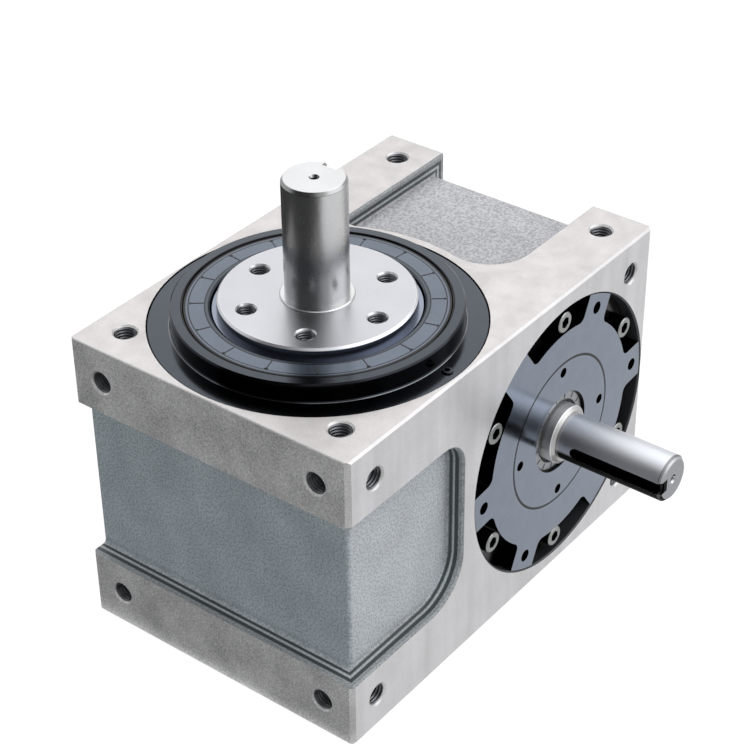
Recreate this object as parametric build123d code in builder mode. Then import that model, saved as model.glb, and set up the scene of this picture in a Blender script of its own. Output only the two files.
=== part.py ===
from build123d import *
from math import atan, atan2, cos, degrees, hypot, radians, sin, sqrt, tan
import os

os.makedirs("parts", exist_ok=True)

# Gear indexer: a globoidal cam on a horizontal input shaft turns a vertical output turret
# through eight radial cam rollers, inside a cast-iron box machined on all six faces.
# Origin: on the base plane, under the output axis. +Z is the output axis, the input shaft
# lies along Y and leaves the box towards -Y. All sizes are in millimetres.

# Casting
center_distance = 80.0
output_setback = 75.0
input_setback = 70.0
housing_width = 150.0
housing_height = 150.0
corner_chamfer = 2.0
long_edge_chamfer = 1.0
short_edge_chamfer = 0.4

# Corner mounting holes: large on the base, medium on three faces, small on two
mount_edge_offset = 17.0
base_hole_radius = 6.0
mount_hole_radius = 5.0
side_hole_radius = 4.0
mount_hole_depth = 11.0
mount_hole_chamfer = 0.8

# Painted recesses
band_height = 33.0
left_recess_depth = 9.0
front_pocket_depth = 8.0
front_pocket_length = 78.3
front_pocket_upper_radius = 14.0
front_pocket_lower_radius = 22.0
end_pocket_depth = 8.0
end_pocket_width = 84.6
end_pocket_rim = 4.8
end_pocket_near_radius = 20.0
end_pocket_far_radius = 6.0
end_panel_radius = 14.0
cast_post_radius = 2.0
cast_brow_radius = 3.0
cast_floor_radius = 1.8
mouth_chamfer = 1.0
core_overshoot = 5.0
flat_tolerance = 0.01

# Output bearings, turret and flange
cover_side_wall = 1.5
cover_seat_depth = 6.5
cover_ledge_drop = 0.4
cover_ledge_width = 10.5
cover_ring_wall = 5.5
cover_ring_height = 8.5
cover_ring_chamfer = 0.7
cover_lip_radius = 49.0
cover_lip_thickness = 2.0
cover_gap = 0.1
cover_groove_chamfer = 0.6
lock_screw_radius = 2.5
lock_screw_inset = 5.5
lock_screw_stand = 0.9
upper_bearing_bore = 45.0
upper_bearing_outer = 62.5
upper_bearing_width = 17.0
lower_bearing_bore = 25.0
lower_bearing_outer = 40.0
lower_bearing_width = 16.0
bottom_cover_radius = 50.0
bottom_cover_thickness = 9.0
bottom_spigot_length = 5.0
bottom_screw_place = 45.0
lip_radius = 53.5
turret_chamber_radius = 52.5
turret_chamber_floor = 34.0
lower_lip_radius = 34.0
hub_radius = 36.0
hub_bore_radius = 8.0
hub_floor_gap = 12.0
turret_shoulder_radius = 50.0
turret_shoulder_height = 10.5
turret_flare_height = 8.0
lower_shoulder_radius = 31.0
flange_radius = 43.0
flange_height = 12.0
flange_rim_height = 5.5
flange_chamfer = 1.0
flange_hole_circle = 32.0
flange_hole_count = 6
flange_hole_radius = 4.0
flange_hole_mouth = 4.7
flange_hole_depth = 18.0
output_seal_drop = 0.5
output_seal_width = 12.0
output_seal_groove = 0.5
lip_clearance = 0.04
output_lip_face = 1.6
output_lip_edge = 0.8
output_lip_back = 2.5

# Output shaft
output_shaft_radius = 14.0
output_shaft_length = 56.0
output_collar_radius = 16.2
output_collar_height = 0.8
output_socket_depth = 50.0
shaft_end_chamfer = 1.5
output_end_inset = 1.05
output_key_width = 8.0
output_key_depth = 4.0
output_key_length = 45.0
center_hole_radius = 1.6
center_hole_mouth = 2.3
center_hole_depth = 6.0

# Cam rollers on radial studs
follower_count = 8
roller_radius = 11.0
roller_inner_reach = 37.0
roller_outer_reach = 48.7
roller_chamfer = 0.6
stud_axle_radius = 6.0
stud_shank_radius = 5.0
stud_shank_length = 18.0
stud_head_radius = 8.5
stud_collar_radius = 8.0
stud_head_thickness = 1.0
stud_collar_thickness = 1.7
running_clearance = 0.05
roller_end_play = 0.1

# Globoidal cam and input shaft
cam_half_length = 36.0
cam_chamber_gap = 2.0
cam_root_clearance = 0.7
rib_tip_clearance = 1.3
rib_flank_clearance = 0.25
rib_root_depth = 1.5
rib_reach_angle = 56.0
rib_section_step = 14.0
cam_chamber_step = 3.5
cam_seat_radius = 17.0
cam_shoulder_radius = 20.0
contact_passes = 12
input_bearing_bore = 15.0
input_bearing_outer = 31.0
input_bearing_width = 16.0
journal_radius = 14.0
journal_stand = 4.5
journal_chamfer = 1.6
input_shaft_radius = 11.0
input_shaft_reach = 58.5
input_key_width = 6.0
input_key_depth = 3.5
input_key_length = 47.0
cam_key_width = 10.0
cam_key_height = 8.0
cam_key_length = 40.0
cam_key_shaft_depth = 5.0
cam_key_top_gap = 0.2
retaining_ring_thickness = 1.75
retaining_ring_height = 4.0
retaining_groove_depth = 1.2
shaft_tail = 1.0

# Eccentric bearing flanges and their caps
flange_eccentricity = 1.0
flange_turn = 5.0
end_wall = 2.5
base_wall = 6.5
bearing_flange_gap = 0.1
bearing_flange_thickness = 12.5
bearing_flange_drop = 0.5
spigot_step = 12.0
bearing_spigot_length = 17.0
spigot_gap = 0.05
bore_mouth_chamfer = 0.8
ear_count = 6
ear_width = 19.0
ear_hole_radius = 3.0
ear_hole_inset = 7.0
ear_hole_turns = (0, 60, 180, 240)
slot_reach = 12.9
slot_depth = 6.3
slot_corner_radius = 4.0
screw_inset = 7.5
screw_radius = 3.0
screw_head_radius = 5.0
screw_head_height = 6.0
screw_length = 18.0
screw_socket_flat = 5.0
screw_socket_depth = 3.0
screw_hole_depth = 14.0
screw_slot_travel = 8.0
screw_slot_width = 7.0
cap_radius = 37.5
cap_gap = 0.05
cap_relief_radius = 26.5
cap_relief_depth = 2.5
cap_spanner_circle = 32.5
cap_spanner_radius = 2.4
cap_spanner_depth = 6.0
rear_cap_floor = 4.0
input_seal_radius = 20.0
input_seal_width = 7.0
input_seal_drop = 1.5
input_seal_pocket = 8.5
cap_throat_radius = 16.0
input_lip_face = 1.2
input_lip_edge = 0.4
input_lip_back = 1.5
input_lip_slope = 1.0

# Square rubber rings round the spigots
ring_seal_half = 1.3
ring_seal_place = 6.0

# Small screws of the bottom cover
bottom_screw_radius = 2.5
bottom_screw_head_radius = 4.25
bottom_screw_head_height = 5.0
bottom_screw_socket_flat = 4.0
bottom_screw_socket_depth = 2.5
bottom_screw_bore_depth = 5.5
bottom_screw_length = 14.0
bottom_screw_hole_depth = 13.0
bottom_screw_count = 6
head_bore_clearance = 0.4
head_chamfer = 0.4

# Oil fittings in the end panel
fitting_radius = 6.5
plug_head_flat = 17.0
plug_head_height = 5.0
plug_length = 10.0
plug_socket_flat = 8.0
plug_socket_depth = 4.0
fitting_side = 22.0
fill_plug_drop = 40.0
drain_plug_rise = 11.0
glass_drop = 5.0
glass_hole_radius = 10.0
glass_bezel_radius = 13.0
glass_bezel_height = 4.0
glass_shank_length = 8.0
glass_window_radius = 8.0
glass_window_thickness = 3.0
glass_window_drop = 1.5
glass_ledge = 1.5
fit_clearance = 0.05

# Places that follow from the sizes above
left_x = -output_setback
right_x = center_distance + input_setback
housing_length = right_x - left_x
middle_x = (left_x + right_x) / 2
half_width = housing_width / 2
half_height = housing_height / 2
input_height = half_height
cover_radius = min(half_width, output_setback) - cover_side_wall
cover_ring_radius = cover_radius - cover_ledge_width
lock_screw_place = cover_radius - lock_screw_inset
bearing_flange_radius = min(input_setback - end_wall, input_height - flange_eccentricity - base_wall)
bearing_spigot_radius = bearing_flange_radius - spigot_step
screw_circle = bearing_flange_radius - screw_inset
ear_hole_place = bearing_flange_radius - ear_hole_inset
slot_inner_radius = bearing_flange_radius - slot_reach
cam_chamber_radius = bearing_spigot_radius - cam_chamber_step
cam_outer_radius = cam_chamber_radius - cam_chamber_gap
cover_seat_z = housing_height - cover_seat_depth
upper_bearing_z = cover_seat_z - upper_bearing_width
lower_bearing_z = bottom_cover_thickness + bottom_spigot_length
lower_shoulder_z = lower_bearing_z + lower_bearing_width
ledge_z = housing_height - cover_ledge_drop
ring_top_z = housing_height + cover_ring_height
flange_top_z = housing_height + flange_height
output_seal_top_z = ring_top_z - output_seal_drop
output_seal_base_z = output_seal_top_z - output_seal_width
output_seal_radius = cover_ring_radius - cover_ring_wall
shaft_top_z = flange_top_z + output_shaft_length
flange_face_y = half_width - bearing_flange_drop
flange_seat_y = flange_face_y - bearing_flange_thickness
spigot_end_y = flange_seat_y - bearing_spigot_length
bearing_face_y = flange_seat_y
bearing_spread = bearing_face_y - input_bearing_width
bore_axis_z = input_height - flange_eccentricity
shaft_end_y = half_width + input_shaft_reach
end_floor_x = right_x - end_pocket_depth
fill_plug_place = (-fitting_side, housing_height - fill_plug_drop)
drain_plug_place = (fitting_side, band_height + drain_plug_rise)
glass_place = (0, input_height - glass_drop)
station_angle = 360 / follower_count
cam_root_reach = roller_outer_reach + stud_head_thickness + roller_end_play + cam_root_clearance
rib_tip_reach = hub_radius + rib_tip_clearance

output_axis = Axis((0, 0, 0), (0, 0, 1))
input_axis = Axis((center_distance, 0, input_height), (0, 1, 0))
bore_axis = Axis((center_distance, 0, bore_axis_z), (0, 1, 0))
input_plane = Plane(origin=(center_distance, 0, input_height), x_dir=(-1, 0, 0), z_dir=(0, 0, -1))
cam_plane = Plane(origin=(center_distance, 0, input_height), x_dir=(1, 0, 0), z_dir=(0, 0, 1))
bore_plane = Plane(origin=(center_distance, 0, bore_axis_z), x_dir=(1, 0, 0), z_dir=(0, 0, 1))
front_flange_plane = Plane(
    origin=(center_distance, -flange_face_y, bore_axis_z), x_dir=(1, 0, 0), z_dir=(0, -1, 0)
)
rear_flange_plane = Plane(
    origin=(center_distance, flange_face_y, bore_axis_z), x_dir=(-1, 0, 0), z_dir=(0, 1, 0)
)
front_cap_plane = Plane(
    origin=(center_distance, -flange_face_y, input_height), x_dir=(1, 0, 0), z_dir=(0, -1, 0)
)
rear_cap_plane = Plane(
    origin=(center_distance, flange_face_y, input_height), x_dir=(-1, 0, 0), z_dir=(0, 1, 0)
)
left_plane = Plane(origin=(left_x, 0, half_height), x_dir=(0, -1, 0), z_dir=(-1, 0, 0))
right_plane = Plane(origin=(right_x, 0, half_height), x_dir=(0, 1, 0), z_dir=(1, 0, 0))
front_plane = Plane(origin=(middle_x, -half_width, half_height), x_dir=(1, 0, 0), z_dir=(0, -1, 0))
rear_plane = Plane(origin=(middle_x, half_width, half_height), x_dir=(-1, 0, 0), z_dir=(0, 1, 0))
top_plane = Plane(origin=(middle_x, 0, housing_height), x_dir=(1, 0, 0), z_dir=(0, 0, 1))
base_plane = Plane(origin=(middle_x, 0, 0), x_dir=(1, 0, 0), z_dir=(0, 0, -1))
fitting_plane = Plane(origin=(end_floor_x, 0, 0), x_dir=(0, 1, 0), z_dir=(1, 0, 0))


def save(built, name):
    """Label a finished piece and write its file."""
    built.part.label = name
    export_step(built.part, f"parts/{name}.step")


def side_plane(plane):
    """Section plane of a turned piece: sketch x is its radius, sketch y its plane's normal."""
    return Plane(origin=plane.origin, x_dir=plane.x_dir, z_dir=-plane.y_dir)


def turned(points, plane, mode=Mode.ADD):
    """Revolve a closed section of (radius, height) points about a plane's normal."""
    with BuildSketch(side_plane(plane)) as section:
        with BuildLine():
            Polyline(*points, close=True)
        make_face()
    revolve(section.sketch, axis=Axis(plane.origin, plane.z_dir), mode=mode)


# Housing: one iron casting, machined flat on six faces, with painted recesses between
# the machined bands, a stepped vertical bore for the output and a cross bore for the cam.
band_top = housing_height - band_height
recess_height = band_top - band_height
recess_middle = (band_top + band_height) / 2
pocket_right_x = left_x + front_pocket_length
pocket_arc_radius = cover_radius + end_pocket_rim
pocket_half = end_pocket_width / 2
face_grids = [
    (top_plane, housing_length, housing_width, mount_hole_radius),
    (base_plane, housing_length, housing_width, base_hole_radius),
    (front_plane, housing_length, housing_height, mount_hole_radius),
    (rear_plane, housing_length, housing_height, side_hole_radius),
    (left_plane, housing_width, housing_height, mount_hole_radius),
    (right_plane, housing_width, housing_height, side_hole_radius),
]

left_floor_x = left_x + left_recess_depth
pocket_floor_z = housing_height - end_pocket_depth
front_floor_y = -half_width + front_pocket_depth


def near(value, place):
    return abs(value - place) < flat_tolerance


def on_recess_floor(edge):
    """Edges where the floors of the left recess and front pocket meet their walls."""
    middle = edge @ 0.5
    round_post = edge.geom_type == GeomType.CIRCLE and near(edge.radius, cast_post_radius)
    beyond_post = middle.X > left_floor_x + cast_post_radius + flat_tolerance
    on_left = near(middle.X, left_floor_x) and abs(edge.tangent_at(0.5).Y) > 0.5
    return round_post or on_left or (near(middle.Y, front_floor_y) and beyond_post)


def on_pocket_floor(edge):
    """Edges where the floors of the top pocket and of its panel meet their walls."""
    middle = edge @ 0.5
    round_brow = edge.geom_type == GeomType.CIRCLE and near(edge.radius, cast_brow_radius)
    beside_brow = middle.Z > pocket_floor_z - cast_brow_radius - flat_tolerance
    across = abs(edge.tangent_at(0.5).Y) > 0.5 and edge.geom_type == GeomType.LINE
    on_floor = near(middle.Z, pocket_floor_z) and not across
    on_panel = near(middle.X, end_floor_x) and not (across and beside_brow)
    return round_brow or on_floor or on_panel


# The core of the left recess, which runs right across the left face and turns the corner
# into the front face, where it ends in two rounded corners.
with BuildPart() as recess_core:
    with BuildSketch(Plane.YZ.offset(left_x + left_recess_depth)):
        with Locations(((front_floor_y + half_width + core_overshoot) / 2, recess_middle)):
            Rectangle(half_width + core_overshoot - front_floor_y, recess_height)
    extrude(amount=-left_recess_depth - core_overshoot)
    with BuildSketch(Plane.XZ.offset(-front_floor_y)) as front_pocket:
        with Locations(((left_x - core_overshoot + pocket_right_x) / 2, recess_middle)):
            Rectangle(front_pocket_length + core_overshoot, recess_height)
        inner_corners = front_pocket.vertices().group_by(Axis.X)[-1].sort_by(Axis.Y)
        fillet(inner_corners[-1], front_pocket_upper_radius)
        fillet(
            front_pocket.vertices().group_by(Axis.X)[-1].sort_by(Axis.Y)[0], front_pocket_lower_radius
        )
    extrude(amount=front_pocket_depth + core_overshoot)
    inner_post = recess_core.edges().filter_by(Axis.Z).sort_by_distance((left_floor_x, front_floor_y, 0))
    fillet(inner_post[0], cast_post_radius)
    fillet(recess_core.edges().filter_by(on_recess_floor), cast_floor_radius)
    with BuildSketch(Plane.XZ.offset(half_width - mouth_chamfer)):
        add(front_pocket.sketch_local)
    extrude(amount=mouth_chamfer, taper=-45)

# The core of the top pocket, open to the right-hand end and round about the output bore,
# with the panel for the oil fittings below it.
with BuildPart() as end_core:
    with BuildSketch(Plane.XY.offset(housing_height - end_pocket_depth)) as end_pocket:
        with BuildLine():
            arc_x = sqrt(pocket_arc_radius**2 - pocket_half**2)
            Line((arc_x, -pocket_half), (right_x + core_overshoot, -pocket_half))
            Line((right_x + core_overshoot, -pocket_half), (right_x + core_overshoot, pocket_half))
            Line((right_x + core_overshoot, pocket_half), (arc_x, pocket_half))
            ThreePointArc((arc_x, pocket_half), (pocket_arc_radius, 0), (arc_x, -pocket_half))
        make_face()
        arc_corners = end_pocket.vertices().group_by(Axis.X)[0].sort_by(Axis.Y)
        fillet(arc_corners[0], end_pocket_near_radius)
        fillet(end_pocket.vertices().group_by(Axis.X)[0].sort_by(Axis.Y)[-1], end_pocket_far_radius)
    extrude(amount=end_pocket_depth + core_overshoot)
    with BuildSketch(Plane.YZ.offset(end_floor_x)) as end_panel:
        with Locations((0, (band_height + housing_height + core_overshoot) / 2)):
            Rectangle(end_pocket_width, housing_height + core_overshoot - band_height)
        fillet(end_panel.vertices().group_by(Axis.Y)[0], end_panel_radius)
    extrude(amount=end_pocket_depth + core_overshoot)
    brow = end_core.edges().filter_by(Axis.Y).sort_by_distance((end_floor_x, 0, pocket_floor_z))
    fillet(brow[0], cast_brow_radius)
    fillet(end_core.edges().filter_by(on_pocket_floor), cast_floor_radius)
    with BuildSketch(Plane.XY.offset(housing_height - mouth_chamfer)):
        add(end_pocket.sketch_local)
    extrude(amount=mouth_chamfer, taper=-45)
    with BuildSketch(Plane.YZ.offset(right_x - mouth_chamfer)):
        add(end_panel.sketch_local)
    extrude(amount=mouth_chamfer, taper=-45)

with BuildPart() as housing:
    with BuildSketch(Plane.XY):
        with Locations((middle_x, 0)):
            Rectangle(housing_length, housing_width)
    extrude(amount=housing_height)
    chamfer(housing.edges().filter_by(Axis.Z), corner_chamfer)
    long_edges = housing.edges().filter_by(Axis.X).group_by(Axis.Z)
    chamfer(long_edges[0] + long_edges[-1], long_edge_chamfer)
    short_edges = housing.edges().filter_by(Axis.Y).group_by(Axis.Z)
    chamfer(short_edges[0] + short_edges[-1], short_edge_chamfer)

    add(recess_core.part, mode=Mode.SUBTRACT)
    add(end_core.part, mode=Mode.SUBTRACT)

    # stepped vertical bore: bottom cover, lower bearing, turret chamber, upper bearing, cover
    turned(
        [
            (0, 0),
            (bottom_cover_radius, 0),
            (bottom_cover_radius, bottom_cover_thickness),
            (lower_bearing_outer, bottom_cover_thickness),
            (lower_bearing_outer, lower_shoulder_z),
            (lower_lip_radius, lower_shoulder_z),
            (lower_lip_radius, turret_chamber_floor),
            (turret_chamber_radius, turret_chamber_floor),
            (turret_chamber_radius, upper_bearing_z),
            (upper_bearing_outer, upper_bearing_z),
            (upper_bearing_outer, cover_seat_z),
            (cover_radius, cover_seat_z),
            (cover_radius, housing_height),
            (0, housing_height),
        ],
        Plane.XY,
        Mode.SUBTRACT,
    )

    # cross bore: a wide seat for each bearing flange, its spigot bore, and the cam chamber
    turned_half = [
        (0, half_width),
        (bearing_flange_radius + bore_mouth_chamfer, half_width),
        (bearing_flange_radius, half_width - bore_mouth_chamfer),
        (bearing_flange_radius, flange_seat_y),
        (bearing_spigot_radius, flange_seat_y),
        (bearing_spigot_radius, spigot_end_y),
        (cam_chamber_radius, spigot_end_y),
    ]
    with BuildSketch(bore_plane) as cross_bore:
        with BuildLine():
            Polyline(*turned_half, *[(r, -y) for r, y in reversed(turned_half)], close=True)
        make_face()
    revolve(cross_bore.sketch, axis=bore_axis, mode=Mode.SUBTRACT)

    # tapped mounting holes near the corners of all six faces
    for face_plane, face_length, face_height, hole_radius in face_grids:
        with Locations(face_plane):
            with GridLocations(
                face_length - 2 * mount_edge_offset, face_height - 2 * mount_edge_offset, 2, 2
            ):
                CounterSinkHole(hole_radius, hole_radius + mount_hole_chamfer, mount_hole_depth, 90)

    # tapped holes for the bearing flanges, on the seat of each flange
    for seat_plane in (front_flange_plane, rear_flange_plane):
        with Locations(seat_plane.offset(-bearing_flange_thickness)):
            with PolarLocations(screw_circle, ear_count, start_angle=180 / ear_count):
                Hole(screw_radius, screw_hole_depth)

    # tapped holes for the bottom cover
    with Locations(Plane(origin=(0, 0, bottom_cover_thickness), x_dir=(1, 0, 0), z_dir=(0, 0, -1))):
        with PolarLocations(bottom_screw_place, bottom_screw_count):
            Hole(bottom_screw_radius, bottom_screw_hole_depth)

    # oil holes from the end panel into the cam chamber
    with Locations(fitting_plane):
        with Locations(fill_plug_place, drain_plug_place):
            Hole(fitting_radius, right_x - center_distance - end_pocket_depth)
        with Locations(glass_place):
            Hole(glass_hole_radius, right_x - center_distance - end_pocket_depth)
save(housing, "housing")

# Top bearing cover: a black turned ring screwed into the housing over the upper bearing,
# with a raised collar that holds the oil seal.
cover_outer = cover_radius - cover_gap
with BuildPart() as top_bearing_cover:
    turned(
        [
            (cover_lip_radius, cover_seat_z),
            (cover_outer, cover_seat_z),
            (cover_outer, ledge_z - cover_groove_chamfer),
            (cover_outer - cover_groove_chamfer, ledge_z),
            (cover_ring_radius + cover_groove_chamfer, ledge_z),
            (cover_ring_radius, ledge_z + cover_groove_chamfer),
            (cover_ring_radius, ring_top_z - cover_ring_chamfer),
            (cover_ring_radius - cover_ring_chamfer, ring_top_z),
            (output_seal_radius + output_seal_groove, ring_top_z),
            (output_seal_radius, ring_top_z - output_seal_groove),
            (output_seal_radius, output_seal_base_z),
            (cover_lip_radius, output_seal_base_z),
        ],
        Plane.XY,
    )
    with Locations((0, -lock_screw_place, ledge_z)):
        Hole(lock_screw_radius, ledge_z - cover_seat_z)
save(top_bearing_cover, "top_bearing_cover")

# Cover lock screw: a set screw in the ledge that keeps the cover from turning.
with BuildPart() as cover_lock_screw:
    with BuildSketch(Plane.XY.offset(cover_seat_z)):
        with Locations((0, -lock_screw_place)):
            Circle(lock_screw_radius - fit_clearance)
    extrude(amount=ledge_z + lock_screw_stand - cover_seat_z)
    chamfer(cover_lock_screw.edges().group_by(Axis.Z)[-1], lock_screw_stand / 2)
    with BuildSketch(Plane.XY.offset(ledge_z + lock_screw_stand)):
        with Locations((0, -lock_screw_place)):
            RegularPolygon(lock_screw_radius / 2, 6, major_radius=False)
    extrude(amount=-lock_screw_radius, mode=Mode.SUBTRACT)
save(cover_lock_screw, "cover_lock_screw")

# Output oil seal: a rubber-faced ring pressed into the collar, its lip on the turret.
lip_bore = upper_bearing_bore + lip_clearance
with BuildPart() as output_oil_seal:
    turned(
        [
            (lip_bore, output_seal_base_z + output_seal_width / 2),
            (lip_bore + output_lip_back, output_seal_base_z),
            (output_seal_radius, output_seal_base_z),
            (output_seal_radius, output_seal_top_z - output_seal_groove),
            (output_seal_radius - output_seal_groove, output_seal_top_z),
            (lip_bore + output_lip_face, output_seal_top_z),
            (lip_bore + output_lip_edge, output_seal_top_z - output_seal_groove),
        ],
        Plane.XY,
    )
save(output_oil_seal, "output_oil_seal")

# Bottom cover: a turned plate, flush with the base, that carries the lower bearing cup.
with BuildPart() as bottom_cover:
    turned(
        [
            (0, 0),
            (bottom_cover_radius - cover_gap, 0),
            (bottom_cover_radius - cover_gap, bottom_cover_thickness),
            (lower_bearing_outer - fit_clearance, bottom_cover_thickness),
            (lower_bearing_outer - fit_clearance, lower_bearing_z),
            (lower_lip_radius, lower_bearing_z),
            (lower_lip_radius, bottom_cover_thickness),
            (0, bottom_cover_thickness),
        ],
        Plane.XY,
    )
    with Locations(Plane(origin=(0, 0, 0), x_dir=(1, 0, 0), z_dir=(0, 0, -1))):
        with PolarLocations(bottom_screw_place, bottom_screw_count):
            CounterBoreHole(
                bottom_screw_radius + head_bore_clearance,
                bottom_screw_head_radius + head_bore_clearance,
                bottom_screw_bore_depth,
                bottom_cover_thickness,
            )
save(bottom_cover, "bottom_cover")


def socket_screw(radius, length, head_radius, head_height, flat, socket_depth):
    """One cap screw, standing on the XY plane under its head, with a hex socket."""
    with BuildPart() as screw:
        with BuildSketch(Plane.XY):
            Circle(head_radius)
        extrude(amount=head_height)
        chamfer(screw.edges().group_by(Axis.Z)[-1], head_chamfer)
        with BuildSketch(Plane.XY.offset(head_height)):
            RegularPolygon(flat / 2, 6, major_radius=False)
        extrude(amount=-socket_depth, mode=Mode.SUBTRACT)
        with BuildSketch(Plane.XY):
            Circle(radius)
        extrude(amount=-length)
    return screw.part


# Screws of the bottom cover, heads sunk below the base.
bottom_screw = socket_screw(
    bottom_screw_radius - fit_clearance,
    bottom_screw_length,
    bottom_screw_head_radius,
    bottom_screw_head_height,
    bottom_screw_socket_flat,
    bottom_screw_socket_depth,
)
bottom_head_plane = Plane(
    origin=(0, 0, bottom_screw_bore_depth), x_dir=(1, 0, 0), z_dir=(0, 0, -1)
)
with BuildPart() as bottom_cover_screws:
    with Locations(bottom_head_plane):
        with PolarLocations(bottom_screw_place, bottom_screw_count):
            add(bottom_screw)
save(bottom_cover_screws, "bottom_cover_screws")

# Tapered roller bearings. Each is made about its own plane, whose normal points from the
# small end of the rollers to the large end: a cup, a cone, and the rollers in their cage.
taper_angle = 13.0
roller_margin = 2.0
cage_thickness = 1.2
cage_gap = 0.1
cage_share = 0.4
bar_gap = 0.02
ring_share = 0.26
race_clearance = 0.03


def tapered_bearing(name, plane, bore, outer, width, count):
    """Cup, cone and caged rollers whose conical races meet on the bearing's axis."""
    height = outer - bore
    mid_radius = (outer + bore) / 2
    roller_mid = height * (0.5 - ring_share)
    apex_distance = mid_radius / sin(radians(taper_angle))
    half_cone = degrees(atan(roller_mid / apex_distance))
    apex_z = width / 2 - mid_radius / tan(radians(taper_angle))

    def race(z, angle, gap):
        return (z - apex_z) * tan(radians(angle)) + gap

    cup_angle = taper_angle + half_cone
    cone_angle = taper_angle - half_cone
    with BuildPart() as cup:
        turned(
            [
                (race(0, cup_angle, race_clearance), 0),
                (outer, 0),
                (outer, width),
                (race(width, cup_angle, race_clearance), width),
            ],
            plane,
        )
    save(cup, f"{name}_bearing_cup")
    with BuildPart() as cone:
        turned(
            [
                (bore, 0),
                (race(0, cone_angle, -race_clearance), 0),
                (race(width, cone_angle, -race_clearance), width),
                (bore, width),
            ],
            plane,
        )
    save(cone, f"{name}_bearing_cone")

    # one roller, a short cone lying along the line from the apex
    slope = Vector(sin(radians(taper_angle)), 0, cos(radians(taper_angle)))
    roller_length = (width - 2 * roller_margin) / cos(radians(taper_angle))
    roller_start = apex_distance - roller_length / 2
    roller_end = roller_start + roller_length
    apex = Vector(0, 0, apex_z)
    taper = tan(radians(half_cone))
    with BuildPart() as one_roller:
        with Locations(Plane(origin=apex + slope * roller_start, z_dir=slope)):
            Cone(
                roller_start * taper,
                roller_end * taper,
                roller_length,
                align=(Align.CENTER, Align.CENTER, Align.MIN),
            )

    # the cage: a ring at each end of the rollers, and a bar in each gap between them
    across = Vector(slope.Z, 0, -slope.X)
    cage_half = roller_mid * cage_share
    bar_start = apex + slope * (roller_start - cage_gap + bar_gap)
    with BuildPart() as one_bar:
        with BuildSketch(Plane(origin=bar_start, x_dir=across, z_dir=slope)):
            Rectangle(2 * cage_half, cage_thickness)
        extrude(amount=roller_length + 2 * cage_gap - 2 * bar_gap)
    with BuildPart() as caged_rollers:
        for ring_start in (roller_start - cage_gap - cage_thickness, roller_end + cage_gap):
            corners = [
                apex + slope * (ring_start + along) + across * side
                for along, side in (
                    (0, -cage_half),
                    (0, cage_half),
                    (cage_thickness, cage_half),
                    (cage_thickness, -cage_half),
                )
            ]
            turned([(corner.X, corner.Z) for corner in corners], plane)
        with Locations(plane):
            with PolarLocations(0, count, start_angle=180 / count):
                add(one_bar.part)
            with PolarLocations(0, count):
                add(one_roller.part)
    save(caged_rollers, f"{name}_bearing_rollers")


upper_bearing_plane = Plane(origin=(0, 0, cover_seat_z), x_dir=(1, 0, 0), z_dir=(0, 0, -1))
lower_bearing_plane = Plane(origin=(0, 0, lower_bearing_z), x_dir=(1, 0, 0), z_dir=(0, 0, 1))
front_bearing_plane = Plane(
    origin=(center_distance, -bearing_face_y, input_height), x_dir=(1, 0, 0), z_dir=(0, 1, 0)
)
rear_bearing_plane = Plane(
    origin=(center_distance, bearing_face_y, input_height), x_dir=(1, 0, 0), z_dir=(0, -1, 0)
)
tapered_bearing(
    "upper", upper_bearing_plane, upper_bearing_bore, upper_bearing_outer, upper_bearing_width, 20
)
tapered_bearing(
    "lower", lower_bearing_plane, lower_bearing_bore, lower_bearing_outer, lower_bearing_width, 14
)
for bearing_name, bearing_plane in (("front", front_bearing_plane), ("rear", rear_bearing_plane)):
    tapered_bearing(
        bearing_name, bearing_plane, input_bearing_bore, input_bearing_outer, input_bearing_width, 12
    )

# Turret flange: the output spindle in one piece, from the lower journal through the hub
# that holds the roller studs to the bright flange with six tapped holes.
shoulder_z = upper_bearing_z
shoulder_base_z = shoulder_z - turret_shoulder_height
rim_z = flange_top_z - flange_rim_height
socket_floor_z = flange_top_z - output_socket_depth
stud_face = roller_inner_reach - roller_end_play - stud_collar_thickness
with BuildPart() as turret_flange:
    turned(
        [
            (hub_bore_radius, hub_floor_gap),
            (lower_bearing_bore, hub_floor_gap),
            (lower_bearing_bore, lower_shoulder_z),
            (lower_shoulder_radius, lower_shoulder_z),
            (lower_shoulder_radius, turret_chamber_floor + hub_floor_gap - flange_rim_height),
            (hub_radius, turret_chamber_floor + hub_floor_gap),
            (hub_radius, shoulder_base_z - turret_flare_height),
            (turret_shoulder_radius, shoulder_base_z),
            (turret_shoulder_radius, shoulder_z),
            (upper_bearing_bore, shoulder_z),
            (upper_bearing_bore, rim_z),
            (flange_radius, rim_z),
            (flange_radius, flange_top_z - flange_chamfer),
            (flange_radius - flange_chamfer, flange_top_z),
            (output_collar_radius, flange_top_z),
            (output_collar_radius, socket_floor_z),
            (hub_bore_radius, socket_floor_z),
        ],
        Plane.XY,
    )
    with Locations((0, 0, flange_top_z)):
        with PolarLocations(flange_hole_circle, flange_hole_count, start_angle=30):
            CounterSinkHole(flange_hole_radius, flange_hole_mouth, flange_hole_depth, 90)
    for station in range(follower_count):
        stud_angle = (station + 0.5) * station_angle
        stud_dir = Vector(cos(radians(stud_angle)), sin(radians(stud_angle)), 0)
        with Locations(Plane(origin=Vector(0, 0, input_height) + stud_dir * stud_face, z_dir=stud_dir)):
            Hole(stud_shank_radius, stud_shank_length)
            Cylinder(
                stud_head_radius,
                hub_radius,
                align=(Align.CENTER, Align.CENTER, Align.MIN),
                mode=Mode.SUBTRACT,
            )
save(turret_flange, "turret_flange")

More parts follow.
